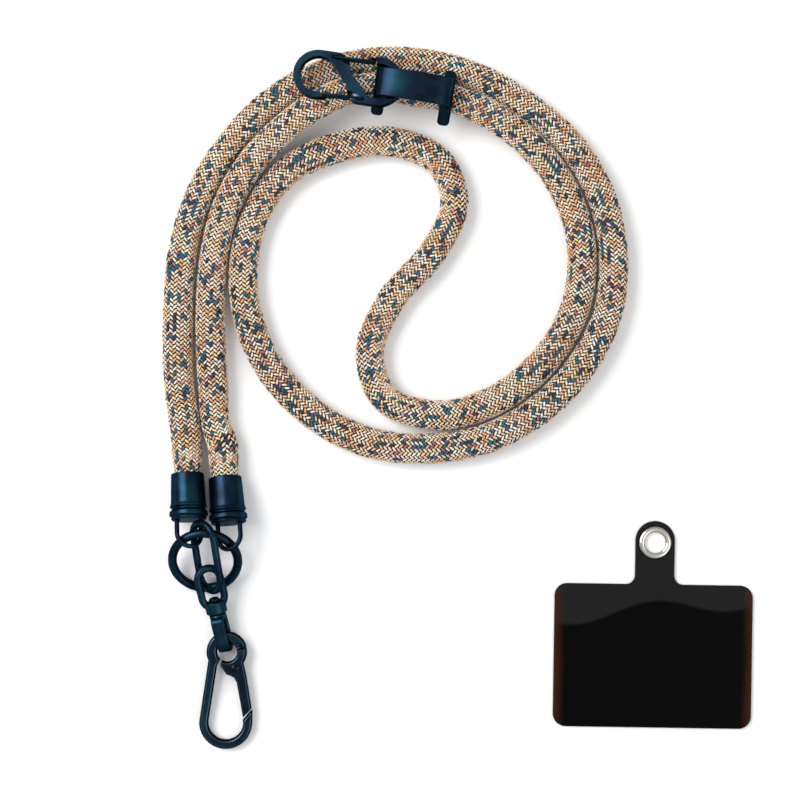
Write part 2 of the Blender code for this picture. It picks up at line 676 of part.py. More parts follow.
def make_slider(material, matrix):
    """A bridge with a round collar at each end for the rope and a wide strip over it."""
    wing = SLIDER_WING - SLIDER_WING_TIP_R
    tip = SLIDER_WING_TIP_R
    collar = SLIDER_COLLAR_R
    outline = arc(0.0, 0.0, collar, 35, 145, 12)
    outline += arc(-wing, 0.0, tip, 110, 250, 8)
    outline += arc(0.0, 0.0, collar, 215, 325, 12)
    outline += arc(wing, 0.0, tip, -70, 70, 8)
    stand = Matrix.Rotation(math.pi / 2, 4, "Z") @ Matrix.Rotation(math.pi / 2, 4, "X")
    middle = SLIDER_HALF_LENGTH - SLIDER_FLANGE / 2

    foot = SLIDER_ARCH_BASE - 1.2
    outer = arch(SLIDER_HALF_LENGTH, SLIDER_ARCH_RISE)
    inner = arch(SLIDER_HALF_LENGTH - 2.0, SLIDER_ARCH_RISE - SLIDER_STRIP)
    profile = [(outer[0][0], foot), *outer, (outer[-1][0], foot), (inner[-1][0], foot),
               *reversed(inner), (inner[0][0], foot)]
    shifted = matrix @ Matrix.Translation((0.0, SLIDER_STRIP_SHIFT * MM, 0.0))
    face_on = shifted @ Matrix.Rotation(math.pi / 2, 4, "X")
    slider = plate("slider", profile, SLIDER_STRIP_WIDTH, material, face_on, rim=0.35)
    for label, shift in (("left", -middle), ("right", middle)):
        place = matrix @ Matrix.Translation((shift * MM, 0.0, 0.0)) @ stand
        flange = plate(f"slider_flange_{label}", outline, SLIDER_FLANGE, material, place,
                       rim=0.5)
        combine(slider, flange, "UNION")
    reach = SLIDER_HALF_LENGTH + 2.0
    bore = turned("slider_bore", [(-reach, 0.0), (-reach, SLIDER_BORE_R),
                                  (reach, SLIDER_BORE_R), (reach, 0.0)], 28, material, matrix)
    combine(slider, bore, "DIFFERENCE")
    return slider


def pad_outline():
    """A rounded rectangle with a round ended tongue on its upper edge."""
    x = PAD_LENGTH / 2
    y = PAD_WIDTH / 2
    r = PAD_CORNER_R
    half = TONGUE_WIDTH / 2
    shift = TONGUE_SHIFT
    fillet = TONGUE_FILLET
    tip = y + TONGUE_LENGTH - half
    points = arc(x - r, y - r, r, 0, 90, 6)
    points += arc(shift + half + fillet, y + fillet, fillet, 270, 180, 5)
    points += arc(shift, tip, half, 0, 180, 14)
    points += arc(shift - half - fillet, y + fillet, fillet, 0, -90, 5)
    points += arc(r - x, y - r, r, 90, 180, 6)
    points += arc(r - x, r - y, r, 180, 270, 6)
    points += arc(x - r, r - y, r, 270, 360, 6)
    return points


def make_pad(film, metal):
    """The thin pad that sits inside a phone's case, with a grommet in its tongue."""
    matrix = frame((*PAD_PLACE, 0.0), PAD_TURN)
    pad = plate("phone_pad", pad_outline(), PAD_THICK, film, matrix, base=0.0)
    eye_y = PAD_WIDTH / 2 + TONGUE_LENGTH - GROMMET_INSET
    centre = matrix @ Matrix.Translation((TONGUE_SHIFT * MM, eye_y * MM, 0.0))
    upright = centre @ Matrix.Rotation(-math.pi / 2, 4, "Y")
    neck_r = GROMMET_NECK_R + GAP
    recess_r = GROMMET_OD / 2 + GAP
    sink = 0.05
    low = GROMMET_FLANGE + GAP
    top = PAD_THICK - sink
    high = top - GAP
    profile = [(-1.0, 0.0), (-1.0, recess_r), (low, recess_r), (low, neck_r), (high, neck_r),
               (high, recess_r), (PAD_THICK + 1.0, recess_r), (PAD_THICK + 1.0, 0.0)]
    combine(pad, turned("phone_pad_seat", profile, 24, film, upright), "DIFFERENCE")
    hole = GROMMET_HOLE_D / 2
    flange = GROMMET_OD / 2
    profile = [
        (0.1, hole + 0.1), (0.0, hole + 0.4), (0.0, flange), (GROMMET_FLANGE, flange),
        (GROMMET_FLANGE, GROMMET_NECK_R), (top, GROMMET_NECK_R), (top, flange - 0.1),
        (top + 0.25, flange), (top + 0.7, flange - 0.8), (top + 0.7, hole + 0.8),
        (top + 0.3, hole), (0.4, hole), (0.1, hole + 0.1),
    ]
    return turned("grommet", profile, 24, metal, upright)


def centre_on_origin(rope):
    """Moves everything so that the pieces other than the rope centre over the origin."""
    graph = bpy.context.evaluated_depsgraph_get()
    low = Vector((1e9, 1e9))
    high = Vector((-1e9, -1e9))
    for item in bpy.data.objects:
        if item is rope or item.hide_render:
            continue
        shape = item.evaluated_get(graph)
        mesh = shape.to_mesh()
        for vert in mesh.vertices:
            point = shape.matrix_world @ vert.co
            low = Vector((min(low.x, point.x), min(low.y, point.y)))
            high = Vector((max(high.x, point.x), max(high.y, point.y)))
        shape.to_mesh_clear()
    shift = Matrix.Translation((-(low.x + high.x) / 2, -(low.y + high.y) / 2, 0.0))
    for item in bpy.data.objects:
        item.matrix_world = shift @ item.matrix_world
    return shift.translation


def build():
    clear_scene()
    metal = make_material("black_metal", (0.012, 0.016, 0.022), 0.32, 0.9)
    cord = make_material("braided_cord", (0.62, 0.45, 0.30), 0.85, 0.0)
    film = make_material("smoky_film", (0.03, 0.026, 0.024), 0.2, 0.0)
    chrome = make_material("bright_chrome", (0.75, 0.76, 0.78), 0.15, 1.0)

    to_mouth = Matrix.Translation((-CAP_LENGTH * MM, 0.0, 0.0))
    left = frame(CAP_LEFT_END, CAP_LEFT_HEADING, CAP_PITCH) @ to_mouth
    bow = frame(BAIL_RIGHT_TIP, CAP_RIGHT_HEADING, BAIL_RIGHT["pitch"])
    right_end = along(bow, -BAIL_RIGHT["length"])
    right = frame(right_end, CAP_RIGHT_HEADING, CAP_PITCH) @ to_mouth
    for name, cap_frame, heading, bail in (("left", left, CAP_LEFT_HEADING, BAIL_LEFT),
                                           ("right", right, CAP_RIGHT_HEADING, BAIL_RIGHT)):
        end = along(cap_frame, CAP_LENGTH)
        bail_frame = frame(end, heading, bail["pitch"], bail["roll"])
        make_cap(f"cap_{name}", metal, cap_frame, bail_frame)
        make_bail(f"bail_{name}", metal, bail_frame, bail["length"])

    make_ring(metal)
    make_link(metal)
    axis = frame(BARREL_PLACE, SWIVEL_HEADING, SWIVEL_PITCH)
    make_swivel_eye(metal, axis)
    make_swivel_loop(metal, axis)
    make_hook(metal, frame(HOOK_PLACE, 0.0, 0.0, HOOK_TILT))
    make_clip(metal, frame(CLIP_PLACE, 0.0, CLIP_PITCH, CLIP_ROLL))
    slider = frame(SLIDER_PLACE, SLIDER_HEADING)
    make_slider(metal, slider)
    make_pad(film, chrome)
    rope = make_rope(cord, (left, right), slider)
    bpy.context.view_layer.update()
    centre_on_origin(rope)


build()
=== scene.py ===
"""A phone crossbody strap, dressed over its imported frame.

A braided rope in a double spiral, black cast fittings, and a smoky pad that slips into a
phone's case. Sizes are in millimetres, as the layout was measured, and made in metres.
"""
import math

import bmesh
import bpy
from mathutils import Matrix, Vector


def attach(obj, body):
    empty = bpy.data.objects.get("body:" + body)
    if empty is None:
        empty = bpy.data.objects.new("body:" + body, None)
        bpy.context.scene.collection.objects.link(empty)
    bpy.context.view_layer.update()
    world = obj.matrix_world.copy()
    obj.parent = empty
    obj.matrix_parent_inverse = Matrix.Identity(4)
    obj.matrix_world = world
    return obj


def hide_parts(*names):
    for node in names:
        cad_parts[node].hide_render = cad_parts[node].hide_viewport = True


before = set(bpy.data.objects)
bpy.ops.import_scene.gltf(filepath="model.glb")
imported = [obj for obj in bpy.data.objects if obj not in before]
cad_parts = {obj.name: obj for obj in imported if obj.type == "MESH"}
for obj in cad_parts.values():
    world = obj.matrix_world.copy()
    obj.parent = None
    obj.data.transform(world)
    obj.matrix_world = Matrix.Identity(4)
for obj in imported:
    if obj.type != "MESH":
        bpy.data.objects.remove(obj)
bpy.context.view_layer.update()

# Camera
# The strap was photographed from straight above its centre. The layout's centre lies a
# little off the frame's origin, and every place below is given from the layout's centre.
MM = 0.001
LAYOUT_CENTRE = Vector((-19.228, 0.709, 0.0))
CAMERA_HEIGHT = 785.0
FIELD_WIDTH = 250.0            # what the picture takes in, level with the rope's axis
FIELD_LEVEL = 5.0

view = bpy.data.cameras.new("from_above")
view.angle = 2 * math.atan(FIELD_WIDTH / 2 / (CAMERA_HEIGHT - FIELD_LEVEL))
view.clip_start = 0.01
camera = bpy.data.objects.new("from_above", view)
bpy.context.scene.collection.objects.link(camera)
camera.location = (LAYOUT_CENTRE + Vector((0.0, 0.0, CAMERA_HEIGHT))) * MM
bpy.context.scene.camera = camera
bpy.context.scene.view_settings.view_transform = "Standard"

# Rope
# A round cord a little thicker than a pencil, braided from space-dyed yarns: peach, cream and
# pale pink, with runs of teal and navy. Both ends sit in the caps, and one turn of it
# passes through the slider. Its core shows between the yarns. Its colour is partly its own dark
# yarn and partly painted shade for the gaps.
ROPE_D = 9.6
ROPE_CAP_SHARE = 0.87          # how far the caps squeeze the rope
ROPE_SLIDER_SHARE = 0.89       # how far the slider squeezes it
ROPE_LEAD = 5.0                # straight rope outside each cap's mouth
ROPE_SETTLE = 12.0             # from a cap's mouth to where the rope lies flat
ROPE_LENGTH = 0.9715
ROPE_STEPS = 12                # steps of the smooth axis from one chosen point to the next
CORE_SHARE = 0.90
CAP_LENGTH = 14.6
CAP_BORE_DEPTH = 10.8
CAP_PITCH = 11.49
CAP_LEFT_END = (-65.66, -37.39, 8.81)
CAP_RIGHT_END = (-53.27, -38.43, 8.81)
CAP_LEFT_HEADING = -87.3
CAP_RIGHT_HEADING = -84.5
SLIDER_PLACE = (4.25, 95.2, 11.2)
SLIDER_HEADING = -9.0
SLIDER_HALF_LENGTH = 12.3
PIECE_GAP = 0.3

# x, y, lift off the surface, thickness share
ROPE_ROUTE = [
    (-69.2, 6.3, 0.0, 0.99), (-69.4, 25.0, 0.0, 0.99), (-67.9, 46.9, 0.0, 0.96),
    (-62.2, 65.4, 0.0, 0.93), (-51.0, 82.6, 0.0, 0.93), (-34.7, 96.9, 0.0, 0.94),
    (-15.6, 104.6, 0.0, 0.95), (3.1, 105.8, 0.0, 0.95), (21.9, 101.6, 0.0, 0.95),
    (39.4, 92.0, 0.0, 0.94), (54.1, 78.8, 0.0, 0.94), (63.5, 62.0, 0.0, 0.95),
    (66.7, 44.4, 0.0, 0.97), (65.3, 28.4, 0.0, 0.98), (57.8, 12.2, 0.0, 1.00),
    (45.0, -1.9, 0.0, 1.00), (28.3, -11.6, 0.0, 0.98), (8.8, -15.2, 0.0, 0.99),
    (-10.0, -13.1, 0.0, 1.00), (-27.5, -4.1, 0.0, 1.00), (-42.5, 13.1, 0.0, 1.00),
    (-48.8, 33.4, 0.0, 0.97), (-46.5, 54.3, 0.0, 0.93), (-36.6, 70.3, 0.0, 0.96),
    (-19.4, 78.9, 0.0, 1.00), (-1.3, 80.5, 0.0, 0.97), (12.5, 74.2, 0.0, 0.94),
    (17.0, 61.6, 0.0, 0.93), (10.3, 46.3, 0.0, 0.93), (-2.8, 31.3, 0.0, 0.93),
    (-9.5, 14.1, 0.0, 0.93), (-4.7, 0.6, 0.0, 0.94), (10.2, -4.7, 0.0, 0.98),
    (27.6, -1.0, 0.0, 0.98), (43.8, 10.9, 0.0, 0.98), (54.7, 28.8, 0.0, 0.97),
    (56.6, 49.1, 0.0, 0.96), (49.3, 68.8, 1.4, 0.95), (36.1, 83.4, 3.2, 0.95),
    (21.4, 91.7, 5.3, 0.94),
]
ROPE_ROUTE_HOME = [
    (-17.1, 95.7, 5.6, 0.94), (-30.4, 88.8, 4.6, 0.94), (-39.2, 81.7, 3.9, 0.93),
    (-46.8, 73.3, 3.1, 0.92), (-53.8, 61.2, 2.0, 0.92), (-58.0, 45.6, 0.8, 0.92),
    (-59.3, 29.7, 0.1, 0.96), (-58.5, 6.3, 0.0, 0.99), (-56.5, -10.9, 0.0, 0.98),
]


def stand_at(place, heading=0.0, pitch=0.0, roll=0.0):
    """A place in the layout, X turned to a heading, raised by pitch, then rolled about X."""
    turn = Matrix.Rotation(math.radians(heading), 4, "Z")
    rise = Matrix.Rotation(-math.radians(pitch), 4, "Y")
    tip = Matrix.Rotation(math.radians(roll), 4, "X")
    return Matrix.Translation((Vector(place) + LAYOUT_CENTRE) * MM) @ turn @ rise @ tip


def along(matrix, x, y=0.0, z=0.0):
    """A point given in a frame, in layout millimetres."""
    return matrix @ (Vector((x, y, z)) * MM) / MM - LAYOUT_CENTRE


def lying(x, y, lift, share):
    """A point of the rope's axis where it lies on the surface, or a lift above it."""
    return Vector((x, y, ROPE_D / 2 * share + 0.05 + lift, share))


def rope_end(cap):
    """The rope's axis from inside a cap to where it lies flat outside."""
    x, y, _ = along(cap, -ROPE_SETTLE)
    return [Vector((*along(cap, CAP_BORE_DEPTH - PIECE_GAP), ROPE_CAP_SHARE)),
            Vector((*along(cap, -0.5), ROPE_CAP_SHARE)),
            Vector((*along(cap, -ROPE_LEAD), 0.97)), lying(x, y, 0.0, 1.0)]


def smooth_axis(points):
    """A smooth curve through the chosen points, each with its thickness share."""
    spans = [(b.xyz - a.xyz).length for a, b in zip(points, points[1:])]
    chords = [(b - a) / span for a, b, span in zip(points, points[1:], spans)]
    slopes = [chords[0]]
    for i in range(1, len(points) - 1):
        share = spans[i - 1] / (spans[i - 1] + spans[i])
        slopes.append(chords[i - 1].lerp(chords[i], share))
    slopes.append(chords[-1])
    axis = []
    for i, span in enumerate(spans):
        for step in range(ROPE_STEPS):
            t = step / ROPE_STEPS
            rest = 1 - t
            axis.append(points[i] * (1 + 2 * t) * rest * rest
                        + points[i + 1] * (3 - 2 * t) * t * t
                        + slopes[i] * span * t * rest * rest
                        - slopes[i + 1] * span * t * t * rest)
    axis.append(points[-1])
    return axis


def path_curve(name, points, shares=None, closed=False):
    """A curve of straight steps through layout points, with its place in its points."""
    curve = bpy.data.curves.new(name, "CURVE")
    curve.dimensions = "3D"
    curve.twist_mode = "Z_UP" if shares else "MINIMUM"
    curve.render_resolution_u = 0
    spline = curve.splines.new("POLY")
    spline.points.add(len(points) - 1)
    for index, point in enumerate(points):
        spline.points[index].co = (*((Vector(point) + LAYOUT_CENTRE) * MM), 1.0)
        if shares:
            spline.points[index].radius = shares[index]
    spline.use_cyclic_u = closed
    spline.use_smooth = True
    item = bpy.data.objects.new(name, curve)
    bpy.context.scene.collection.objects.link(item)
    return item


cap_mouth = Matrix.Translation((-CAP_LENGTH * MM, 0.0, 0.0))
left_cap = stand_at(CAP_LEFT_END, CAP_LEFT_HEADING, CAP_PITCH) @ cap_mouth
right_cap = stand_at(CAP_RIGHT_END, CAP_RIGHT_HEADING, CAP_PITCH) @ cap_mouth
slider_stand = stand_at(SLIDER_PLACE, SLIDER_HEADING)
hold = SLIDER_HALF_LENGTH + 0.5
chosen = rope_end(left_cap) + [lying(*row) for row in ROPE_ROUTE]
chosen += [Vector((*along(slider_stand, x), ROPE_SLIDER_SHARE)) for x in (hold, 0.0, -hold)]
chosen += [lying(*row) for row in ROPE_ROUTE_HOME] + rope_end(right_cap)[::-1]
axis = smooth_axis(chosen)
axis_points = [point.xyz for point in axis]
axis_shares = [point.w for point in axis]

core = path_curve("rope_core", axis_points, axis_shares)
core.data.bevel_depth = ROPE_D / 2 * CORE_SHARE * MM
core.data.bevel_resolution = 4
core.data.use_fill_caps = True


class Flow:
    """A socket of a node tree. Arithmetic on it adds Math nodes to that tree."""

    def __init__(self, tree, socket):
        self.tree = tree
        self.socket = socket

    def out(self, name):
        """Another output of the same node."""
        return Flow(self.tree, self.socket.node.outputs[name])

    def maths(self, operation, *others):
        """A Math node on this value and the others, in that order."""
        slots = dict(enumerate((self, *others)))
        return add(self.tree, "ShaderNodeMath", {"operation": operation}, slots)

    def __add__(self, other):
        return self.maths("ADD", other)

    def __sub__(self, other):
        return self.maths("SUBTRACT", other)

    def __rsub__(self, other):
        return self * -1.0 + other

    def __mul__(self, other):
        return self.maths("MULTIPLY", other)

    def __truediv__(self, other):
        return self.maths("DIVIDE", other)

    __radd__ = __add__
    __rmul__ = __mul__


def add(tree, kind, settings=None, slots=None, out=0):
    """Adds a node: its settings first, then the values or links of its sockets."""
    node = tree.nodes.new(kind)
    for key, value in (settings or {}).items():
        if key == "stops":
            ramp = node.color_ramp
            while len(ramp.elements) < len(value):
                ramp.elements.new(1.0)
            for element, (place, colour) in zip(ramp.elements, value):
                element.position = place
                element.color = (*colour, 1.0)
        elif key == "steps":
            node.color_ramp.interpolation = value
        else:
            setattr(node, key, value)
    for key, value in (slots or {}).items():
        if isinstance(value, Flow):
            tree.links.new(value.socket, node.inputs[key])
        else:
            node.inputs[key].default_value = value
    return Flow(tree, node.outputs[out])


def new_material(name):
    """An empty material with its surface shader, given back with its tree."""
    material = bpy.data.materials.new(name)
    material.use_nodes = True
    tree = material.node_tree
    return material, tree, tree.nodes["Principled BSDF"]


def wire_up(tree, shader, **flows):
    """Links flows, or sets values, on the surface shader's sockets."""
    for key, value in flows.items():
        slot = shader.inputs[key.replace("_", " ")]
        if isinstance(value, Flow):
            tree.links.new(value.socket, slot)
        else:
            slot.default_value = value


def noise(tree, scale, detail=2.0):
    """Cloudiness over a piece's own space, finer with a larger scale."""
    where = add(tree, "ShaderNodeTexCoord", None, None, "Object")
    return add(tree, "ShaderNodeTexNoise", None,
               {"Vector": where, "Scale": scale, "Detail": detail})


def mix(tree, share, below, above, blend="MIX"):
    """One colour laid over another by a share, or multiplied into it."""
    below, above = [end if isinstance(end, Flow) else (*end, 1.0) for end in (below, above)]
    return add(tree, "ShaderNodeMix", {"data_type": "RGBA", "blend_type": blend},
               {0: share, 6: below, 7: above}, 2)


def bump(tree, height, strength):
    """Raises a surface by up to a tenth of a millimetre."""
    return add(tree, "ShaderNodeBump", None,
               {"Height": height, "Strength": strength, "Distance": 0.1 * MM})


NAVY = (0.010, 0.022, 0.060)
TEAL = (0.002, 0.130, 0.225)
PEACH = (0.82, 0.47, 0.28)
CREAM = (0.90, 0.73, 0.44)
PALE_PINK = (0.92, 0.76, 0.66)
ORANGE = (0.82, 0.42, 0.16)
IVORY = (0.94, 0.88, 0.72)
ROSE = (0.42, 0.14, 0.13)
SEA_GREEN = (0.020, 0.150, 0.190)
LIGHT_DYES = [
    (0.0, CREAM), (0.20, PEACH), (0.38, IVORY), (0.54, PALE_PINK), (0.68, CREAM),
    (0.80, PEACH), (0.86, ORANGE), (0.94, ROSE), (0.965, IVORY)]
DARK_DYES = [(0.0, TEAL), (0.62, NAVY), (0.90, SEA_GREEN)]
WORN_SHADE = (0.62, 0.52, 0.46)
FIBRE_SHADE = (0.66, 0.58, 0.54)
# The core's colours: partly its own dark yarn, and partly painted shade for the gaps between the
# yarns.
CORE_BROWN = (0.040, 0.012, 0.010)
CORE_BLACK = (0.010, 0.009, 0.012)
CORE_NAVY = (0.006, 0.012, 0.034)
CORE_TEAL = (0.003, 0.040, 0.060)
BRAID_COLUMNS = 24
BRAID_PITCH = 1.37             # along the rope, from one yarn of a column to the next
BRAID_SLANT = 46.0
YARN_LENGTH = 1.86
YARN_WIDTH = 0.70
YARN_DEPTH = 0.56
YARN_SINK = 0.25               # from the rope's surface to the yarn's middle
DYE_RUN = 3.0                  # how many yarns of a strand in a row keep one dye
DYE_RUN_SPREAD = 5.0           # how far the strands' runs are out of step
PATCHES_ALONG = 300.0          # light and dark patches, to the metre
PATCHES_ROUND = 3.2            # and round the rope
SLANT_SEED = 7.0               # keeps the draws of the two slants apart
DYE_SCATTER = 0.30             # how far each yarn's own dye blurs the dark patches
DARK_LIMIT = 0.522             # yarns below it are teal or navy


def yarn_float():
    """One visible length of yarn: a lens with two pointed ends, along X."""
    bm = bmesh.new()
    half = YARN_LENGTH / 2 * MM
    rings = []
    for share, girth in ((-0.72, 0.72), (-0.25, 1.0), (0.25, 1.0), (0.72, 0.72)):
        y = YARN_WIDTH / 2 * girth * MM
        z = YARN_DEPTH / 2 * girth * MM
        corners = ((0, z), (-y, 0), (0, -z), (y, 0))
        rings.append([bm.verts.new((share * half, a, b)) for a, b in corners])
    for a, b in zip(rings, rings[1:]):
        for i in range(4):
            j = (i + 1) % 4
            bm.faces.new((a[i], b[i], b[j], a[j]))
    for ring, x in ((rings[0], -half), (rings[-1], half)):
        tip = bm.verts.new((x, 0.0, -0.1 * MM))
        for i in range(4):
            bm.faces.new((ring[i], ring[(i + 1) % 4], tip))
    bmesh.ops.recalc_face_normals(bm, faces=bm.faces)
    mesh = bpy.data.meshes.new("yarn_float")
    bm.to_mesh(mesh)
    bm.free()
    mesh.shade_smooth()
    item = bpy.data.objects.new("yarn_float", mesh)
    bpy.context.scene.collection.objects.link(item)
    return item


def new_tree(name, **inputs):
    """A node tree with named inputs, their identifiers, and the node that gives them."""
    tree = bpy.data.node_groups.new(name, "GeometryNodeTree")
    keys = {}
    for label, kind in inputs.items():
        slot = tree.interface.new_socket(label, in_out="INPUT", socket_type=f"NodeSocket{kind}")
        keys[label] = slot.identifier
    tree.interface.new_socket("Geometry", in_out="OUTPUT", socket_type="NodeSocketGeometry")
    return tree, keys, add(tree, "NodeGroupInput")


def finish_tree(tree, given, laid):
    """Ends a tree: what is laid is made real, in the material that the tree is given."""
    real = add(tree, "GeometryNodeRealizeInstances", None, {"Geometry": laid})
    done = add(tree, "GeometryNodeSetMaterial", None,
               {"Geometry": real, "Material": given.out("Material")})
    end = tree.nodes.new("NodeGroupOutput")
    tree.links.new(done.socket, end.inputs[0])


def braid_tree():
    """Yarns laid over a path in slanting columns, each with its own dyed colour."""
    tree, keys, given = new_tree(
        "braid", Path="Geometry", Yarn="Object", Columns="Int", Rows="Int", First="Int",
        Last="Int", Slant="Float", Side="Float", Reach="Float", Material="Material")
    path, side = given.out("Path"), given.out("Side")
    half_columns = given.out("Columns") * 0.5
    rows, first = given.out("Rows"), given.out("First")
    index = add(tree, "GeometryNodeInputIndex")
    level = (index / half_columns).maths("FLOOR")
    column = index - level * half_columns
    row = level + first
    shift = side * 0.25 + 0.5
    reach = add(tree, "GeometryNodeCurveLength", None, {"Curve": path})
    station = (row + shift) / rows * reach
    angle = (column * 2.0 + 1.0 + side * 0.5) / given.out("Columns") * math.tau
    thickness = add(tree, "GeometryNodeInputRadius")
    found = add(tree, "GeometryNodeSampleCurve", {"mode": "LENGTH", "use_all_curves": True},
                {"Curves": path, "Value": thickness, "Length": station}, "Value")
    tangent, normal = found.out("Tangent"), found.out("Normal")

    def vector(operation, a, b):
        second = 3 if operation == "SCALE" else 1
        return add(tree, "ShaderNodeVectorMath", {"operation": operation}, {0: a, second: b})

    def point(x, y, z=0.0):
        return add(tree, "ShaderNodeCombineXYZ", None, {"X": x, "Y": y, "Z": z})

    def draw(seed, dimensions="3D"):
        return add(tree, "ShaderNodeTexWhiteNoise", {"noise_dimensions": dimensions},
                   {"Vector": seed})

    across = vector("CROSS_PRODUCT", tangent, normal)
    cosine, sine = angle.maths("COSINE"), angle.maths("SINE")
    outward = vector("ADD", vector("SCALE", normal, cosine), vector("SCALE", across, sine))
    around = vector("CROSS_PRODUCT", tangent, outward)
    slant = given.out("Slant")
    run = vector("ADD", vector("SCALE", tangent, slant.maths("COSINE")),
                 vector("SCALE", around, slant.maths("SINE") * side))
    place = vector("ADD", found.out("Position"),
                   vector("SCALE", outward, found * given.out("Reach") - YARN_SINK * MM))
    points = add(tree, "GeometryNodePoints", None,
                 {"Count": half_columns * (given.out("Last") - first), "Position": place})

    strand = (row - column * side * 2.0).maths("FLOORED_MODULO", BRAID_COLUMNS)
    seed = side * SLANT_SEED
    start = draw(point(strand, seed))
    spell = row / DYE_RUN + start * DYE_RUN_SPREAD
    dye = draw(point(strand, seed, spell.maths("FLOOR")))
    spot = point(station * PATCHES_ALONG, cosine * PATCHES_ROUND, sine * PATCHES_ROUND)
    zone = add(tree, "ShaderNodeTexNoise", None, {"Vector": spot, "Scale": 1.0, "Detail": 1.0})
    each = draw(point(row, column), "2D")
    light = add(tree, "ShaderNodeValToRGB", {"steps": "CONSTANT", "stops": LIGHT_DYES},
                {"Fac": dye})
    deep = add(tree, "ShaderNodeValToRGB", {"steps": "CONSTANT", "stops": DARK_DYES},
               {"Fac": each})
    dark = (zone + dye * DYE_SCATTER).maths("LESS_THAN", DARK_LIMIT)
    worn = mix(tree, each * 0.30, mix(tree, dark, light, deep), WORN_SHADE, "MULTIPLY")
    dyed = add(tree, "GeometryNodeStoreNamedAttribute",
               {"data_type": "FLOAT_COLOR", "domain": "POINT"},
               {"Geometry": points, "Name": "yarn", "Value": worn})
    yarn = add(tree, "GeometryNodeObjectInfo", None,
               {"Object": given.out("Yarn"), "As Instance": True}, "Geometry")
    turn = add(tree, "FunctionNodeAxesToRotation",
               {"primary_axis": "X", "secondary_axis": "Z"},
               {"Primary Axis": run, "Secondary Axis": outward})
    laid = add(tree, "GeometryNodeInstanceOnPoints", None,
               {"Points": dyed, "Instance": yarn, "Rotation": turn})
    finish_tree(tree, given, laid)
    return tree, keys


def grow(host, tree, keys, **values):
    """Runs a node tree on a host object, and leaves a plain mesh object of the result."""
    modifier = host.modifiers.new(tree.name, "NODES")
    modifier.node_group = tree
    for key, value in values.items():
        modifier[keys[key]] = value
    bpy.context.view_layer.update()
    graph = bpy.context.evaluated_depsgraph_get()
    mesh = bpy.data.meshes.new_from_object(host.evaluated_get(graph), depsgraph=graph)
    item = bpy.data.objects.new(host.name, mesh)
    bpy.context.scene.collection.objects.link(item)
    name = host.name
    bpy.data.objects.remove(host, do_unlink=True)
    item.name = name
    return item


yarn_cloth, tree, shader = new_material("space_dyed_yarn")
dye = add(tree, "ShaderNodeAttribute", {"attribute_name": "yarn"})
fibres = noise(tree, 2600.0, 3.0)
fuzz = mix(tree, fibres * 0.40, dye, FIBRE_SHADE, "MULTIPLY")
wire_up(tree, shader, Base_Color=fuzz, Roughness=0.78, Normal=bump(tree, fibres, 0.35),
        Sheen_Weight=0.25)

# The core is near black, brown, navy and teal: partly its own dark yarn, and partly painted shade
# in the gaps between the yarns.
core_cloth, tree, shader = new_material("rope_core_yarn")
depth = add(tree, "ShaderNodeValToRGB", {"stops": [
    (0.36, CORE_BROWN), (0.50, CORE_BLACK), (0.58, CORE_NAVY), (0.70, CORE_TEAL)]},
            {"Fac": noise(tree, 95.0)})
wire_up(tree, shader, Base_Color=depth, Roughness=0.9)
core.data.materials.append(core_cloth)

float_shape = yarn_float()
braid, braid_keys = braid_tree()
braid_rows = round(ROPE_LENGTH / MM / BRAID_PITCH)
half_way = braid_rows // 2
for name, side, first, last in (("braid_one_way_outer", -1.0, 0, half_way),
                                ("braid_one_way_inner", -1.0, half_way, braid_rows),
                                ("braid_other_way_outer", 1.0, 0, half_way),
                                ("braid_other_way_inner", 1.0, half_way, braid_rows)):
    host = path_curve(name, axis_points, axis_shares)
    piece = grow(host, braid, braid_keys, Yarn=float_shape, Columns=BRAID_COLUMNS,
                 Rows=braid_rows, First=first, Last=last, Slant=math.radians(BRAID_SLANT),
                 Side=side, Reach=ROPE_D / 2 * MM, Material=yarn_cloth)
    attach(piece, "strap")
bpy.data.objects.remove(float_shape, do_unlink=True)
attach(core, "strap")
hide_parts("rope")
rope_start = (Vector(along(left_cap, 0.0)) + LAYOUT_CENTRE) * MM

# End caps
# Each end of the rope is glued into a turned cap, plated blue-black, with two grooves and a
# bead at its closed end. Two small holes in the end take the legs of its bail.
TEAL_PLATE = (0.009, 0.040, 0.056)
BLUE_PLATE = (0.008, 0.023, 0.044)
DEEP_PLATE = (0.007, 0.012, 0.022)
PLATE_SHEEN = (0.30, 0.36, 0.42)
CAP_BEAD_R = 6.0
CAP_LIP_R = 0.28
CAP_ROUNDS = [                 # share of length, depth under the bead, radius, from, to, steps
    (0.705, 0.42, 0.25, 120, 30, 4), (0.76, 0.43, 0.32, 210, 330, 6),
    (0.83, 0.38, 0.36, 160, 90, 5), (0.89, 0.36, 0.36, 90, 20, 5)]
CAP_MOUTH_R = 5.15
CAP_BORE_R = ROPE_D / 2 * ROPE_CAP_SHARE + PIECE_GAP
BAIL_WIRE = 1.5
BAIL_HALF_WIDTH = 4.0
BAIL_SEAT_DEPTH = 1.3
BAIL_LEFT = {"length": 9.28, "pitch": 23.33, "roll": -27.6}
BAIL_RIGHT = {"length": 9.1, "pitch": 23.25, "roll": 26.25}

black_plate, tree, shader = new_material("blue_black_plate")
cloud = noise(tree, 110.0, 3.0)
tint = add(tree, "ShaderNodeValToRGB", {"stops": [
    (0.36, DEEP_PLATE), (0.50, BLUE_PLATE), (0.64, TEAL_PLATE)]}, {"Fac": cloud})
ripple = bump(tree, noise(tree, 1800.0), 0.06)
wire_up(tree, shader, Base_Color=tint, Metallic=0.95, Roughness=cloud * 0.10 + 0.27,
        Normal=ripple, Specular_Tint=(*PLATE_SHEEN, 1.0))


def arc(cx, cy, radius, start, end, steps):
    """Points of an arc, in degrees, both ends included."""
    points = []
    for step in range(steps + 1):
        angle = math.radians(start + (end - start) * step / steps)
        points.append((cx + radius * math.cos(angle), cy + radius * math.sin(angle)))
    return points


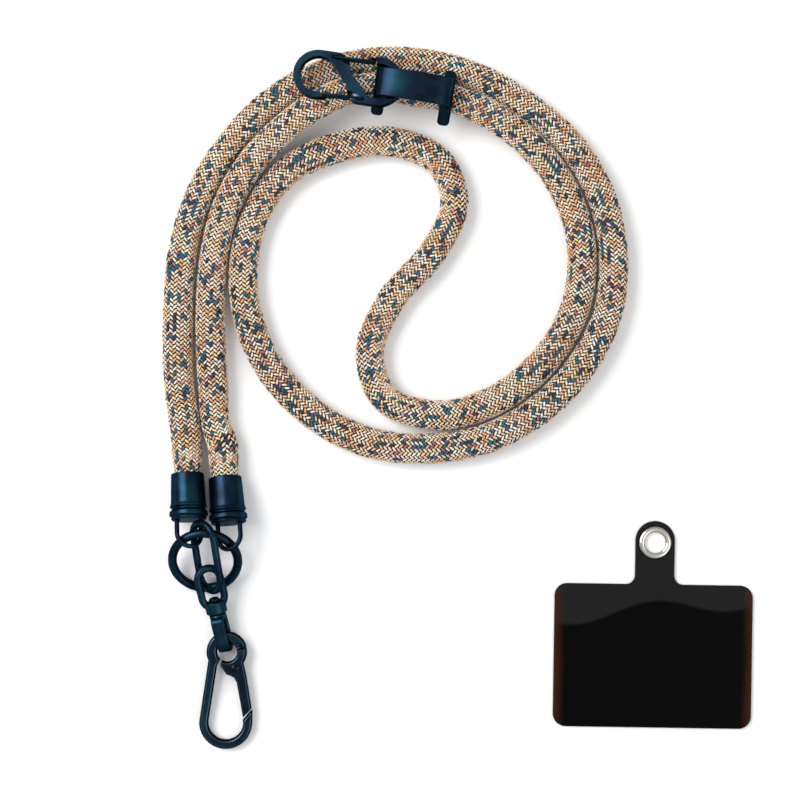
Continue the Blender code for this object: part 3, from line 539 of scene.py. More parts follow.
def place_mesh(name, bm, matrix, sharp=38.0):
    """A mesh object with its place in its points, smooth except at its sharp edges."""
    bmesh.ops.remove_doubles(bm, verts=bm.verts, dist=0.000001)
    bmesh.ops.transform(bm, matrix=matrix, verts=bm.verts)
    bmesh.ops.recalc_face_normals(bm, faces=bm.faces)
    mesh = bpy.data.meshes.new(name)
    bm.to_mesh(mesh)
    bm.free()
    mesh.shade_smooth()
    mesh.set_sharp_from_angle(angle=math.radians(sharp))
    item = bpy.data.objects.new(name, mesh)
    bpy.context.scene.collection.objects.link(item)
    return item


def turned(name, profile, matrix, sides=64):
    """A solid spun about the X axis from a profile of (x, radius) points."""
    bm = bmesh.new()
    verts = [bm.verts.new((x * MM, 0.0, radius * MM)) for x, radius in profile]
    edges = [bm.edges.new((a, b)) for a, b in zip(verts, verts[1:])]
    bmesh.ops.spin(bm, geom=verts + edges, axis=(1, 0, 0), cent=(0, 0, 0),
                   angle=math.tau, steps=sides, use_merge=True)
    return place_mesh(name, bm, matrix, 30.0)


def rod(name, start, end, radius, matrix, sides=64):
    """A plain round rod along the X axis, to drill with."""
    return turned(name, [(start, 0.0), (start, radius), (end, radius), (end, 0.0)], matrix, sides)


def combine(target, helper, operation):
    """Joins or cuts one solid with another, which isn't shown itself."""
    modifier = target.modifiers.new(helper.name, "BOOLEAN")
    modifier.operation = operation
    modifier.object = helper
    helper.hide_render = True


def settle(item, material):
    """Makes what the modifiers leave a plain mesh, with even shading on its flats."""
    helpers = [m.object for m in item.modifiers if m.type == "BOOLEAN"]
    weigh = item.modifiers.new("even_flats", "WEIGHTED_NORMAL")
    weigh.keep_sharp = True
    bpy.context.view_layer.update()
    graph = bpy.context.evaluated_depsgraph_get()
    mesh = bpy.data.meshes.new_from_object(item.evaluated_get(graph), depsgraph=graph)
    item.modifiers.clear()
    item.data = mesh
    for helper in helpers:
        bpy.data.objects.remove(helper, do_unlink=True)
    mesh.materials.clear()
    mesh.materials.append(material)
    return item


def dress(item, node, body):
    """The piece stands for a node of the frame, and moves with its body."""
    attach(item, body)
    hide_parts(node)


def make_cap(name, matrix, bail_matrix):
    """A cap from its mouth to its closed end, with the two holes for its bail's legs."""
    shank_r = CAP_MOUTH_R + 0.3
    bead = CAP_BEAD_R
    profile = [(CAP_BORE_DEPTH, 0.0), (CAP_BORE_DEPTH, CAP_BORE_R), (0.25, CAP_BORE_R)]
    profile += [(0.0, CAP_BORE_R + 0.2), (0.0, CAP_MOUTH_R - 0.25)]
    profile += arc(0.3, CAP_MOUTH_R - CAP_LIP_R, CAP_LIP_R, 180, 90, 4)
    profile += [(CAP_LENGTH * 0.3, CAP_MOUTH_R + 0.14), (CAP_LENGTH * 0.62, shank_r)]
    profile += [(CAP_LENGTH * 0.66, shank_r + 0.12), (CAP_LENGTH * 0.69, bead - 0.28)]
    for share, depth, radius, start, end, steps in CAP_ROUNDS:
        profile += arc(CAP_LENGTH * share, bead - depth, radius, start, end, steps)
    profile += [(CAP_LENGTH * 0.935, bead - 0.62)]
    profile += arc(CAP_LENGTH - 0.5, bead - 0.98, 0.5, 80, 0, 5)
    profile += [(CAP_LENGTH, 0.0)]
    cap = turned(name, profile, matrix)
    hole_r = BAIL_WIRE / 2 + PIECE_GAP
    reach = BAIL_SEAT_DEPTH + 4.0
    for side in (-1, 1):
        seat = Vector((-BAIL_SEAT_DEPTH - PIECE_GAP, side * BAIL_HALF_WIDTH, 0.0)) * MM
        drill = rod(f"{name}_drill", 0.0, reach, hole_r, bail_matrix @ Matrix.Translation(seat),
                    24)
        combine(cap, drill, "DIFFERENCE")
    return settle(cap, black_plate)


bail_stands = []
for name, matrix, heading, bail in (("cap_left", left_cap, CAP_LEFT_HEADING, BAIL_LEFT),
                                    ("cap_right", right_cap, CAP_RIGHT_HEADING, BAIL_RIGHT)):
    stand = stand_at(along(matrix, CAP_LENGTH), heading, bail["pitch"], bail["roll"])
    bail_stands.append(stand)
    dress(make_cap(f"{name}_turned", matrix, stand), name, "strap")

# Bails, ring and link
# Bent from round steel wire and plated like the caps. The bails' legs are seated in the
# caps, their bows and the oval link go round the ring, and all of them swing freely.
RING_OD = 23.2
RING_WIRE = 2.8
RING_TILT = 30.45
RING_BOTTOM = (-60.78, -60.31)
LINK_WIRE = 2.3
LINK_LENGTH = 24.42
LINK_WIDTH = 12.0
LINK_PLACE = (-60.08, -48.78, 9.6)
LINK_TURN = (-82.0, -14.09, 47.0)


def wire_tree():
    """Round wire along a path: its thickness, its sides and whether its ends are closed."""
    tree, keys, given = new_tree("bent_wire", Path="Geometry", Thickness="Float", Sides="Int",
                                 Ends="Bool", Material="Material")
    girth = add(tree, "GeometryNodeCurvePrimitiveCircle", None,
                {"Resolution": given.out("Sides"), "Radius": given.out("Thickness") * 0.5})
    tube = add(tree, "GeometryNodeCurveToMesh", None,
               {"Curve": given.out("Path"), "Profile Curve": girth,
                "Fill Caps": given.out("Ends")})
    smooth = add(tree, "GeometryNodeSetShadeSmooth", None, {"Geometry": tube})
    finish_tree(tree, given, smooth)
    return tree, keys


bent_wire, wire_keys = wire_tree()


def wire(name, points, thickness, closed, matrix):
    """A wire through points of a frame, closed on itself or with filled ends."""
    host = path_curve(name, [along(matrix, *point) for point in points], None, closed)
    return grow(host, bent_wire, wire_keys, Thickness=thickness * MM, Sides=24,
                Ends=not closed, Material=black_plate)


def bail_path(length):
    """The centreline of a bail: two legs and a round bow, X from its cap's end."""
    r = BAIL_HALF_WIDTH
    bow = length - BAIL_WIRE / 2 - r
    return [(-BAIL_SEAT_DEPTH, -r), (bow / 2, -r), *arc(bow, 0.0, r, -90, 90, 40),
            (bow / 2, r), (-BAIL_SEAT_DEPTH, r)]


def oval(length, width, steps):
    """The centreline of an oval with straight sides, along X."""
    r = width / 2
    straight = length / 2 - r
    return arc(straight, 0.0, r, -90, 90, steps) + arc(-straight, 0.0, r, 90, 270, steps)


for side, stand, bail in (("left", bail_stands[0], BAIL_LEFT),
                          ("right", bail_stands[1], BAIL_RIGHT)):
    dress(wire(f"bail_{side}_wire", bail_path(bail["length"]), BAIL_WIRE, False, stand),
          f"bail_{side}", "strap")

ring_r = (RING_OD - RING_WIRE) / 2
tilt = math.radians(RING_TILT)
ring_centre = (RING_BOTTOM[0], RING_BOTTOM[1] + RING_WIRE / 2 + ring_r * math.cos(tilt),
               RING_WIRE / 2 + ring_r * math.sin(tilt))
dress(wire("ring_wire", arc(0.0, 0.0, ring_r, 0, 360, 120)[:-1], RING_WIRE, True,
           stand_at(ring_centre, 0.0, 0.0, RING_TILT)), "o_ring", "strap")
dress(wire("link_wire", oval(LINK_LENGTH - LINK_WIRE, LINK_WIDTH - LINK_WIRE, 40), LINK_WIRE,
           True, stand_at(LINK_PLACE, *LINK_TURN)), "link", "strap")

# Swivel
# A cast eye with a round barrel, and a stem through the barrel, headed over on the inside.
# The stem carries a strap-shaped loop, so the hook below turns without twisting the rope.
BARREL_PLACE = (-57.49, -64.60, 6.0)
SWIVEL_HEADING = -77.0
SWIVEL_PITCH = -9.0
EYE_ROLL = -12.0
EYE_WIRE = 2.4
EYE_LENGTH = 15.0
EYE_WIDTH = 9.5
BARREL_R = 3.3
BARREL_LENGTH = 3.8
STEM_R = 1.1
STEM_HEAD_R = 1.6
STEM_HEAD_LENGTH = 1.0
NECK_R = 2.65
NECK_LENGTH = 1.5
LOOP_REACH = 14.6
LOOP_HALF_HEIGHT = 4.0
LOOP_BAND = 1.6
LOOP_WIDTH = 4.0
LOOP_ROLL = 98.0
LOOP_CORNER_R = 1.8
LOOP_INNER_R = 0.5
LOOP_RIM = 0.55
BARREL_RIM = 0.4


def band(name, outer, inner, thickness, matrix, rim):
    """A closed flat band between two outlines, with its four long edges rounded."""
    bm = bmesh.new()
    rings = []
    for outline in (outer, inner):
        for side in (-0.5, 0.5):
            rings.append([bm.verts.new((x * MM, y * MM, side * thickness * MM))
                          for x, y in outline])
    outer_low, outer_high, inner_low, inner_high = rings
    count = len(outer)
    for a, b in ((outer_low, outer_high), (outer_high, inner_high),
                 (inner_high, inner_low), (inner_low, outer_low)):
        for i in range(count):
            j = (i + 1) % count
            bm.faces.new((a[i], a[j], b[j], b[i]))
    bmesh.ops.recalc_face_normals(bm, faces=bm.faces)
    edges = [edge for edge in bm.edges
             if abs(edge.verts[0].co.z - edge.verts[1].co.z) < 0.00001
             and edge.calc_face_angle(0.0) > 1.0]
    bmesh.ops.bevel(bm, geom=edges, offset=rim * MM, segments=4, profile=0.5,
                    affect="EDGES", clamp_overlap=True)
    return place_mesh(name, bm, matrix)


swivel_axis = stand_at(BARREL_PLACE, SWIVEL_HEADING, SWIVEL_PITCH)
eye_stand = swivel_axis @ Matrix.Rotation(math.radians(EYE_ROLL), 4, "X")
half = BARREL_LENGTH / 2
bore_r = STEM_R + PIECE_GAP
shoulder = half - BARREL_RIM
profile = [(-half, bore_r), *arc(-shoulder, BARREL_R - BARREL_RIM, BARREL_RIM, 180, 90, 5),
           *arc(shoulder, BARREL_R - BARREL_RIM, BARREL_RIM, 90, 0, 5), (half, bore_r),
           (-half, bore_r)]
barrel = turned("swivel_eye_cast", profile, eye_stand)
eye_shift = EYE_LENGTH / 2 - EYE_WIRE / 2
eye_path = [(x - eye_shift, y) for x, y in oval(EYE_LENGTH - EYE_WIRE, EYE_WIDTH - EYE_WIRE, 36)]
eye_loop = wire("swivel_eye_loop", eye_path, EYE_WIRE, True, eye_stand)
eye_bore = rod("swivel_eye_bore", -half - 1, half + 1, bore_r, eye_stand, 32)
combine(barrel, eye_loop, "UNION")
combine(barrel, eye_bore, "DIFFERENCE")
dress(settle(barrel, black_plate), "swivel_eye", "strap")

head = -half - PIECE_GAP
neck = half + PIECE_GAP
tip = neck + NECK_LENGTH
profile = [(head - STEM_HEAD_LENGTH, 0.0), (head - STEM_HEAD_LENGTH, STEM_HEAD_R * 0.35),
           (head - STEM_HEAD_LENGTH * 0.85, STEM_HEAD_R * 0.75),
           (head - STEM_HEAD_LENGTH * 0.5, STEM_HEAD_R), (head, STEM_HEAD_R), (head, STEM_R),
           (neck, STEM_R), (neck, NECK_R - 0.3), (neck + 0.1, NECK_R - 0.09),
           (neck + 0.3, NECK_R), (tip - 0.2, NECK_R), (tip + 0.1, NECK_R - 0.12),
           (tip + 0.2, NECK_R - 0.4), (tip + 0.2, 0.0)]
stem = turned("swivel_loop_cast", profile, swivel_axis)
far = LOOP_REACH - LOOP_HALF_HEIGHT
near = tip - 0.9


def loop_outline(start, half_height, corner):
    """A loop with a round far end and two rounded corners at its start."""
    points = arc(far, 0.0, half_height, -90, 90, 30)
    points += arc(start + corner, half_height - corner, corner, 90, 180, 10)
    return points + arc(start + corner, corner - half_height, corner, 180, 270, 10)


outer = loop_outline(near, LOOP_HALF_HEIGHT, LOOP_CORNER_R)
inner = loop_outline(near + LOOP_BAND, LOOP_HALF_HEIGHT - LOOP_BAND, LOOP_INNER_R)
turn = Matrix.Rotation(math.radians(LOOP_ROLL), 4, "X")
strap = band("swivel_strap", outer, inner, LOOP_WIDTH, swivel_axis @ turn, LOOP_RIM)
combine(stem, strap, "UNION")
dress(settle(stem, black_plate), "swivel_loop", "hook")

# Snap hook
# A cast body and a sprung gate of the same thickness, joined by one rivet. The gate's claw
# also closes the eye that the swivel's loop sits in, and its lower end meets the bow.
HOOK_PLACE = (-54.13, -78.75, 4.06)
HOOK_TILT = 4.5
HOOK_THICK = 3.2
HOOK_EYE_R = 6.375
HOOK_EYE_HOLE_R = 3.1
HOOK_BOW_R = 8.3
HOOK_BOW_BAND = 2.86
HOOK_BOW_DROP = 22.4
HOOK_BOW_SHIFT = -0.5
HOOK_PIVOT = (2.6, -5.06)
HOOK_PIVOT_R = 0.85
HOOK_TONGUE = 1.0
HOOK_RIM = 0.95
HOOK_SEAM = 19.0               # where the gate's claw meets the eye, in degrees round it
GATE_TOP_R = 5.9
GATE_RIM = 0.665
GATE_RAIL = [                  # down the outside to the nose, and up the inside to the claw
    (6.2, -8.8), (7.6, -17.85), (4.95, -20.7), (4.05, -15.4), (3.0, -9.5), (2.1, -7.9),
    (-0.2, -7.0), (-2.0, -4.3)]
RIVET_DOME = 0.15
# Painted highlight colour and painted shade colour for the rims of the flat castings.
PAINTED_EDGE_HIGHLIGHT = (0.075, 0.105, 0.125)
PAINTED_SIDE_SHADE = (0.0025, 0.0045, 0.008)

# The same plating on flat castings, with a painted highlight: a thin light line where the face
# turns over into the rim. Painted shade makes the colour darker down the sides.
rimmed_plate = black_plate.copy()
rimmed_plate.name = "rubbed_rim_plate"
tree = rimmed_plate.node_tree
shader = tree.nodes["Principled BSDF"]
tint = Flow(tree, shader.inputs["Base Color"].links[0].from_socket)
facing = add(tree, "ShaderNodeTexCoord", None, None, "Normal")
level = add(tree, "ShaderNodeSeparateXYZ", None, {0: facing}, "Z").maths("ABSOLUTE")
# Painted shade: the colour darkens as the surface turns down the sides.
side = add(tree, "ShaderNodeMapRange", None, {"Value": level, "From Min": 0.93, "From Max": 0.70})
# Painted highlight: a thin light band where the face turns over into the rim.
painted_highlight_line = add(tree, "ShaderNodeValToRGB", {"stops": [
    (0.84, (0.0, 0.0, 0.0)), (0.93, (1.0, 1.0, 1.0)), (0.975, (0.0, 0.0, 0.0))]},
    {"Fac": level})
shaded = mix(tree, side, tint, PAINTED_SIDE_SHADE)
wire_up(tree, shader, Base_Color=mix(tree, painted_highlight_line * 0.8, shaded, PAINTED_EDGE_HIGHLIGHT))


def plate(name, outline, thickness, matrix, rim=0.0, base=None, steps=4, clamp=True):
    """A flat plate of an outline, with rounded upper and lower rims.

    It is centred on its plane, or starts at a base. A clamp holds the rims back where fine
    arcs are tight, and without it they keep their whole width.
    """
    bm = bmesh.new()
    bottom = -thickness / 2 if base is None else base
    face = bm.faces.new([bm.verts.new((x * MM, y * MM, bottom * MM)) for x, y in outline])
    grown = bmesh.ops.extrude_face_region(bm, geom=[face])
    moved = [item for item in grown["geom"] if isinstance(item, bmesh.types.BMVert)]
    bmesh.ops.translate(bm, vec=(0, 0, thickness * MM), verts=moved)
    bmesh.ops.recalc_face_normals(bm, faces=bm.faces)
    if rim:
        edges = [edge for edge in bm.edges
                 if abs(edge.verts[0].co.z - edge.verts[1].co.z) < 0.00001]
        bmesh.ops.bevel(bm, geom=edges, offset=rim * MM, segments=steps, profile=0.5,
                        affect="EDGES", clamp_overlap=clamp)
    return place_mesh(name, bm, matrix)


hook_stand = stand_at(HOOK_PLACE, 0.0, 0.0, HOOK_TILT)
pivot_x, pivot_y = HOOK_PIVOT
bow_inner_r = HOOK_BOW_R - HOOK_BOW_BAND
outline = arc(0.0, 0.0, HOOK_EYE_R, HOOK_SEAM, 204, 60)
outline += arc(HOOK_BOW_SHIFT, -HOOK_BOW_DROP, HOOK_BOW_R, 177, 360, 60)
outline += [(HOOK_BOW_R + HOOK_BOW_SHIFT + 0.1, 4.2 - HOOK_BOW_DROP)]
outline += arc(HOOK_BOW_SHIFT, -HOOK_BOW_DROP, bow_inner_r, 10, -187, 60)
outline += [(-3.1, -4.4)]
outline += arc(0.0, 0.0, HOOK_EYE_HOLE_R, 228, HOOK_SEAM + 2, 60)
hook = plate("hook_body_cast", outline, HOOK_THICK, hook_stand, HOOK_RIM, clamp=False)
tongue = arc(0.0, 0.0, HOOK_EYE_R - 0.1, 34, -44, 24)
tongue += arc(pivot_x, pivot_y, 1.9, -60, -190, 16)
tongue += arc(0.0, 0.0, HOOK_EYE_HOLE_R + 0.9, -62, 34, 20)
combine(hook, plate("hook_tongue", tongue, HOOK_TONGUE, hook_stand), "UNION")
outline = arc(0.0, 0.0, HOOK_EYE_HOLE_R + 0.1, 239, 375, 40)
outline += arc(0.0, 0.0, GATE_TOP_R, 15, -32, 16) + GATE_RAIL
gate = plate("hook_gate_cast", outline, HOOK_THICK, hook_stand, GATE_RIM, clamp=False)
slot = [(-3.4, 3.0), (-3.4, -7.3), (7.6, -7.3), (7.6, 3.0)]
slot_plate = plate("hook_gate_slot", slot, HOOK_TONGUE + 2 * PIECE_GAP, hook_stand)
combine(gate, slot_plate, "DIFFERENCE")
upright = hook_stand @ Matrix.Translation((pivot_x * MM, pivot_y * MM, 0.0))
upright = upright @ Matrix.Rotation(-math.pi / 2, 4, "Y")
half = HOOK_THICK / 2
for target in (hook, gate):
    drill = rod(f"{target.name}_drill", -half - 1, half + 1, HOOK_PIVOT_R + PIECE_GAP, upright, 32)
    combine(target, drill, "DIFFERENCE")
dress(settle(hook, rimmed_plate), "hook_body", "hook")
dress(settle(gate, rimmed_plate), "hook_gate", "hook_gate")
crest = half + RIVET_DOME
rivet = [(-crest, 0.0), (-crest, HOOK_PIVOT_R * 0.5), (-half, HOOK_PIVOT_R),
         (half, HOOK_PIVOT_R), (half + RIVET_DOME * 0.6, HOOK_PIVOT_R * 0.8),
         (crest, HOOK_PIVOT_R * 0.45), (crest, 0.0)]
dress(settle(turned("hook_rivet_turned", rivet, upright, 32), black_plate),
      "hook_rivet", "hook")

# Slider
# A bridge cast in one piece: a winged collar at each end, bored for the rope, and a wide
# strip that arches over it. It slides along the rope to set the strap's length.
SLIDER_COLLAR_R = 5.8
SLIDER_BORE_R = ROPE_D / 2 * ROPE_SLIDER_SHARE + PIECE_GAP + 0.05
SLIDER_FLANGE = 3.8
SLIDER_FLANGE_RIM = 1.3
SLIDER_WING = 8.6
SLIDER_WING_TIP_R = 1.5
SLIDER_STRIP_WIDTH = 8.8
SLIDER_STRIP_SHIFT = 0.85
SLIDER_STRIP = 1.5
SLIDER_STRIP_RIM = 0.35
SLIDER_SIDE = 2.0              # how thick the strip is where it comes down
SLIDER_ARCH_BASE = 4.9
SLIDER_ARCH_RISE = 6.9
SLIDER_ARCH_STEPS = 56
SLIDER_ARCH_SQUARENESS = 0.65


def arch(half_span, rise):
    """Points of the slider's arch over its springing line, from right to left."""
    points = []
    for step in range(SLIDER_ARCH_STEPS + 1):
        angle = math.pi * step / SLIDER_ARCH_STEPS
        across = abs(math.cos(angle)) ** SLIDER_ARCH_SQUARENESS
        up = math.sin(angle) ** SLIDER_ARCH_SQUARENESS if 0 < step < SLIDER_ARCH_STEPS else 0.0
        points.append((math.copysign(half_span * across, math.cos(angle)),
                       SLIDER_ARCH_BASE + rise * up))
    return points


foot = SLIDER_ARCH_BASE - 1.2
outer = arch(SLIDER_HALF_LENGTH, SLIDER_ARCH_RISE)
inner = arch(SLIDER_HALF_LENGTH - SLIDER_SIDE, SLIDER_ARCH_RISE - SLIDER_STRIP)
profile = [(outer[0][0], foot), *outer, (outer[-1][0], foot), (inner[-1][0], foot),
           *reversed(inner), (inner[0][0], foot)]
sideways = slider_stand @ Matrix.Translation((0.0, SLIDER_STRIP_SHIFT * MM, 0.0))
slider = plate("slider_cast", profile, SLIDER_STRIP_WIDTH,
               sideways @ Matrix.Rotation(math.pi / 2, 4, "X"), SLIDER_STRIP_RIM)
wing = SLIDER_WING - SLIDER_WING_TIP_R
collar = SLIDER_COLLAR_R
outline = arc(0.0, 0.0, collar, 35, 145, 36)
outline += arc(-wing, 0.0, SLIDER_WING_TIP_R, 110, 250, 16)
outline += arc(0.0, 0.0, collar, 215, 325, 36)
outline += arc(wing, 0.0, SLIDER_WING_TIP_R, -70, 70, 16)
stand = Matrix.Rotation(math.pi / 2, 4, "Z") @ Matrix.Rotation(math.pi / 2, 4, "X")
middle = SLIDER_HALF_LENGTH - SLIDER_FLANGE / 2
for shift in (-middle, middle):
    place = slider_stand @ Matrix.Translation((shift * MM, 0.0, 0.0)) @ stand
    flange = plate("slider_flange", outline, SLIDER_FLANGE, place, SLIDER_FLANGE_RIM)
    combine(slider, flange, "UNION")
reach = SLIDER_HALF_LENGTH + 2.0
combine(slider, rod("slider_bore", -reach, reach, SLIDER_BORE_R, slider_stand), "DIFFERENCE")
dress(settle(slider, black_plate), "slider", "strap")

# Double clip
# A flat cast figure of eight, open at both ends. Each opening is closed by a gate bent from
# thin spring wire, pivoted in a shallow pocket and sprung against a lip on the other loop.
CLIP_PLACE = (-15.85, 98.95, 16.45)
CLIP_PITCH = 4.5
CLIP_ROLL = -10.0
CLIP_THICK = 3.0
CLIP_LOOP_R = 5.6
CLIP_BAND = 2.0
CLIP_LOOP_X = 9.45
CLIP_LOOP_Y = 1.35
CLIP_RIM = 0.6
CLIP_POCKET = 0.9
CLIP_POCKET_REACH = 6.4
CLIP_WIRE = 0.8
CLIP_LIP = 1.7
CLIP_PIVOT = (-4.5, 6.75)
CLIP_GATE_LENGTH = 12.6
CLIP_GATE_ANGLE = -7.7
CLIP_GATE_SWING = 15.0
CLIP_GATE_BEND_R = 0.45


def clip_half():
    """Half of the clip's outline: one open loop, its thin lip, and half of the web."""
    x, y = -CLIP_LOOP_X, CLIP_LOOP_Y
    outer_r = CLIP_LOOP_R + CLIP_BAND
    turn = math.radians(CLIP_GATE_ANGLE)
    room = CLIP_WIRE / 2 + PIECE_GAP
    nose_x = -CLIP_GATE_LENGTH * math.cos(turn) - CLIP_PIVOT[0] - room
    bar_y = CLIP_GATE_LENGTH * math.sin(turn) + CLIP_PIVOT[1]
    lip_y = -bar_y - room + CLIP_LIP * math.sin(turn)
    start = 270 + math.degrees(math.asin((nose_x - x) / CLIP_LOOP_R))
    lip_x = nose_x + CLIP_LIP
    points = [(-0.3, -5.6), (-0.75, -1.5), (-2.9, 1.3)]
    points += arc(x, y, CLIP_LOOP_R, 44, start, 24)
    points += [(nose_x, lip_y), (lip_x, lip_y), (lip_x, y - outer_r + 0.15)]
    points += arc(x, y, outer_r, start, 82, 28)
    points += [(-2.25, y + outer_r - 1.1), (-0.25, 6.6)]
    return points


def clip_pocket():
    """The recess over a gate's pivot, as wide as the wire sweeps."""
    x, y = CLIP_PIVOT
    half = CLIP_WIRE / 2 + PIECE_GAP
    reach = CLIP_POCKET_REACH
    start = CLIP_GATE_ANGLE - CLIP_GATE_SWING
    points = arc(x, y, half, CLIP_GATE_ANGLE + 90, CLIP_GATE_ANGLE + 270 - 20, 16)
    for angle in (start, CLIP_GATE_ANGLE):
        turn = math.radians(angle)
        side = math.radians(angle + (90 if angle > start else -90))
        points.append((x + reach * math.cos(turn) + half * math.cos(side),
                       y + reach * math.sin(turn) + half * math.sin(side)))
    return points


clip_stand = stand_at(CLIP_PLACE, 0.0, CLIP_PITCH, CLIP_ROLL)
one_half = clip_half()
clip = plate("clip_cast", one_half + [(-x, -y) for x, y in one_half], CLIP_THICK, clip_stand,
             CLIP_RIM)
lid = CLIP_POCKET + 1.0
hole_r = CLIP_WIRE / 2 + PIECE_GAP
leg_z = CLIP_THICK / 2 - CLIP_POCKET + PIECE_GAP + CLIP_WIRE / 2
bend = CLIP_GATE_BEND_R
corners = [(bend, leg_z - bend, 180), (CLIP_GATE_LENGTH - bend, leg_z - bend, 90),
           (CLIP_GATE_LENGTH - bend, bend - leg_z, 0), (bend, bend - leg_z, -90)]
gate_path = [spot for x, z, start in corners for spot in arc(x, z, bend, start, start - 90, 8)]
for side, turn in (("right", 0.0), ("left", math.pi)):
    local = clip_stand @ Matrix.Rotation(turn, 4, "Z")
    for base in (CLIP_THICK / 2 - CLIP_POCKET, CLIP_POCKET - CLIP_THICK / 2 - lid):
        combine(clip, plate("clip_pocket", clip_pocket(), lid, local, base=base), "DIFFERENCE")
    hinge = local @ Matrix.Translation((CLIP_PIVOT[0] * MM, CLIP_PIVOT[1] * MM, 0.0))
    drill = rod("clip_drill", -CLIP_THICK, CLIP_THICK, hole_r,
                hinge @ Matrix.Rotation(-math.pi / 2, 4, "Y"), 24)
    combine(clip, drill, "DIFFERENCE")
    gate_stand = hinge @ Matrix.Rotation(math.radians(CLIP_GATE_ANGLE), 4, "Z")
    gate_wire = wire(f"clip_gate_{side}_wire", [(x, 0.0, z) for x, z in gate_path], CLIP_WIRE,
                     True, gate_stand)
    dress(gate_wire, f"s_clip_gate_{side}", f"clip_gate_{side}")
dress(settle(clip, rimmed_plate), "s_clip_body", "strap")

# Phone pad and eyelet
# A thin sheet of smoky film, cut with a tongue that comes out of the phone's case. The
# tongue's eyelet is set from two polished rings, and the hook clips into it.
PAD_PLACE = (79.4, -80.4)
PAD_TURN = -0.9
PAD_LENGTH = 62.3
PAD_WIDTH = 45.0
PAD_THICK = 1.2
PAD_RIM = 0.25
PAD_CORNER_R = 4.0
TONGUE_WIDTH = 12.4
TONGUE_LENGTH = 19.9
TONGUE_SHIFT = 0.2
TONGUE_FILLET = 2.8
GROMMET_OD = 10.2
GROMMET_HOLE_D = 6.4
GROMMET_FLANGE = 0.25
GROMMET_NECK_R = 3.9
GROMMET_INSET = 6.8
FILM = (0.0012, 0.0010, 0.0010)
# Painted reflection: the colour of the lighter band along the pad's top edge.
FILM_PAINTED_REFLECTION = (0.0125, 0.0118, 0.0118)
FILM_EDGE = (0.050, 0.012, 0.006)
CHROME = (0.56, 0.53, 0.49)
LIGHT_BAND = 8.0               # how far the painted reflection band comes down from the pad's top edge
LIGHT_BAND_WAVE = 2.6          # how high its lower edge waves
LIGHT_BAND_BENDS = 0.13        # how fast it waves, in radians to the millimetre
LIGHT_BAND_SLOPE = 0.10

film, tree, shader = new_material("smoky_sheet")
where = add(tree, "ShaderNodeTexCoord", None, None, "Object")
smoke = noise(tree, 45.0, 3.0)
centre = (Vector((*PAD_PLACE, 0.0)) + LAYOUT_CENTRE) * MM
level = add(tree, "ShaderNodeMapping", {"vector_type": "TEXTURE"},
            {"Vector": where, "Location": centre, "Rotation": (0.0, 0.0, math.radians(PAD_TURN))})
across = add(tree, "ShaderNodeSeparateXYZ", None, {0: level}, "X") / MM
upward = add(tree, "ShaderNodeSeparateXYZ", None, {0: level}, "Y") / MM
# The lighter band along the pad's top edge is a painted reflection, and its lower edge waves
# across the pad.
wave = (across * LIGHT_BAND_BENDS).maths("COSINE") * LIGHT_BAND_WAVE
clear = upward - (PAD_WIDTH / 2 - LIGHT_BAND) - wave - across * LIGHT_BAND_SLOPE
reflection_share = add(tree, "ShaderNodeMapRange", {"interpolation_type": "SMOOTHSTEP"},
              {"Value": clear, "From Min": -0.5, "From Max": 0.9})
film_tint = mix(tree, reflection_share, FILM, FILM_PAINTED_REFLECTION)
inset = PAD_LENGTH / 2 - across.maths("ABSOLUTE")
rim_glow = add(tree, "ShaderNodeMapRange", {"interpolation_type": "SMOOTHSTEP"},
               {"Value": inset + smoke * 2.0, "From Min": 4.6, "From Max": 0.6})
wire_up(tree, shader, Base_Color=mix(tree, rim_glow * 0.8, film_tint, FILM_EDGE),
        Roughness=smoke * 0.10 + 0.16, Specular_IOR_Level=0.04)

chrome, tree, shader = new_material("polished_rings")
wire_up(tree, shader, Base_Color=(*CHROME, 1.0), Metallic=1.0,
        Roughness=noise(tree, 500.0) * 0.1 + 0.08)

x, y = PAD_LENGTH / 2, PAD_WIDTH / 2
r = PAD_CORNER_R
half = TONGUE_WIDTH / 2
fillet = TONGUE_FILLET
tip = y + TONGUE_LENGTH - half
outline = arc(x - r, y - r, r, 0, 90, 16)
outline += arc(TONGUE_SHIFT + half + fillet, y + fillet, fillet, 270, 180, 14)
outline += arc(TONGUE_SHIFT, tip, half, 0, 180, 40)
outline += arc(TONGUE_SHIFT - half - fillet, y + fillet, fillet, 0, -90, 14)
outline += arc(r - x, y - r, r, 90, 180, 16)
outline += arc(r - x, r - y, r, 180, 270, 16)
outline += arc(x - r, r - y, r, 270, 360, 16)
pad_stand = stand_at((*PAD_PLACE, 0.0), PAD_TURN)
pad = plate("pad_sheet", outline, PAD_THICK, pad_stand, PAD_RIM, base=0.0, steps=3)
eye_y = PAD_WIDTH / 2 + TONGUE_LENGTH - GROMMET_INSET
upright = pad_stand @ Matrix.Translation((TONGUE_SHIFT * MM, eye_y * MM, 0.0))
upright = upright @ Matrix.Rotation(-math.pi / 2, 4, "Y")
neck_r = GROMMET_NECK_R + PIECE_GAP
recess_r = GROMMET_OD / 2 + PIECE_GAP
top = PAD_THICK - 0.05
low = GROMMET_FLANGE + PIECE_GAP
seat = turned("pad_seat", [(-1.0, 0.0), (-1.0, recess_r), (low, recess_r), (low, neck_r),
                           (top - PIECE_GAP, neck_r), (top - PIECE_GAP, recess_r),
                           (PAD_THICK + 1.0, recess_r), (PAD_THICK + 1.0, 0.0)], upright, 48)
combine(pad, seat, "DIFFERENCE")
dress(settle(pad, film), "phone_pad", "strap")
hole = GROMMET_HOLE_D / 2
flange = GROMMET_OD / 2
crown = (flange - hole) / 2
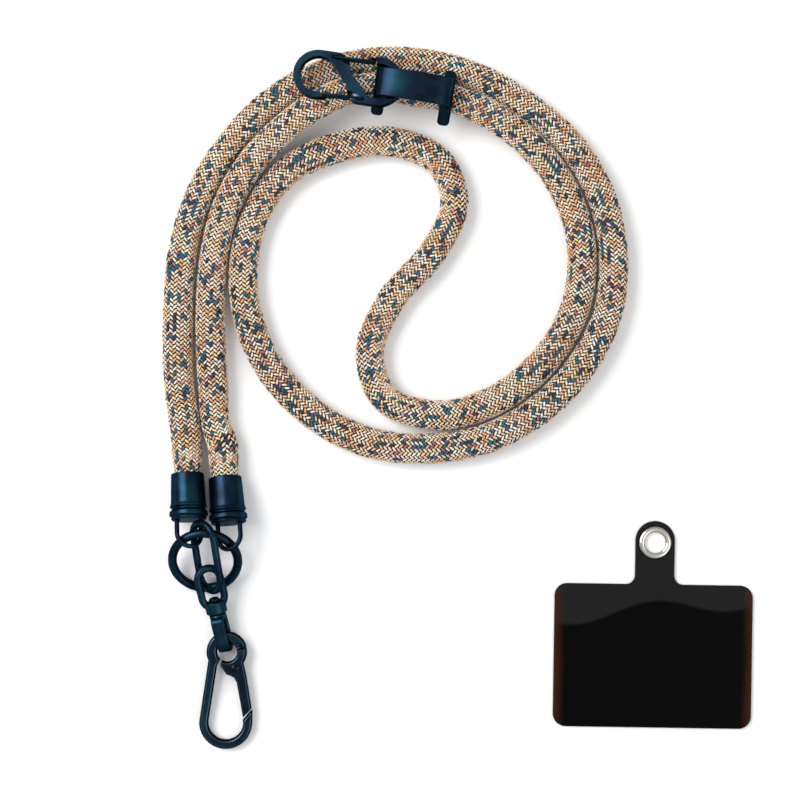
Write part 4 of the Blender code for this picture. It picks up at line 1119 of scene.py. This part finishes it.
profile = [(0.1, hole + 0.1), (0.0, hole + 0.4), (0.0, flange), (GROMMET_FLANGE, flange),
           (GROMMET_FLANGE, GROMMET_NECK_R), (top, GROMMET_NECK_R), (top, flange - 0.1)]
for x, y in arc(0.0, 0.0, 1.0, 0, 180, 14):
    profile.append((top + 0.06 + 0.64 * y, hole + crown + crown * x))
profile += [(top - 0.2, hole), (0.4, hole), (0.1, hole + 0.1)]
dress(settle(turned("eyelet", profile, upright, 96), chrome), "grommet", "strap")

# Surface and light
# The strap lies on a plain white surface under broad, soft studio light from above.
SURFACE_WHITE = (0.95, 0.95, 0.95)
SURFACE_SIZE = 4.0
DOME_LOW = (0.24, 0.25, 0.26)
DOME_SIDES = (0.33, 0.34, 0.35)
DOME_TOP = (0.76, 0.77, 0.78)
LAMPS = [                      # name, place, size, power
    ("key", (-0.70, 0.30, 0.85), 0.7, 10.5),
    ("glint", (-0.45, 0.35, 0.85), 0.10, 0.4),
    ("fill", (0.6, -0.3, 0.8), 0.8, 3.0),
]

plain, tree, shader = new_material("white_surface")
wire_up(tree, shader, Base_Color=(*SURFACE_WHITE, 1.0), Roughness=noise(tree, 300.0) * 0.1 + 0.8)
bpy.ops.mesh.primitive_plane_add(size=SURFACE_SIZE)
surface = bpy.context.object
surface.name = "surface"
surface.data.materials.append(plain)

world = bpy.data.worlds.new("studio")
bpy.context.scene.world = world
world.use_nodes = True
tree = world.node_tree
heading = add(tree, "ShaderNodeTexCoord", None, None, "Generated")
height = add(tree, "ShaderNodeSeparateXYZ", None, {0: heading}, "Z")
dome = add(tree, "ShaderNodeValToRGB", {"stops": [
    (0.0, DOME_LOW), (0.35, DOME_SIDES), (0.90, DOME_TOP)]}, {"Fac": height})
tree.links.new(dome.socket, tree.nodes["Background"].inputs["Color"])
tree.nodes["Background"].inputs["Strength"].default_value = 1.0
for name, place, size, power in LAMPS:
    lamp = bpy.data.lights.new(name, "AREA")
    lamp.size = size
    lamp.energy = power
    item = bpy.data.objects.new(name, lamp)
    bpy.context.scene.collection.objects.link(item)
    item.location = place
    item.rotation_euler = (-Vector(place)).to_track_quat("-Z", "Y").to_euler()
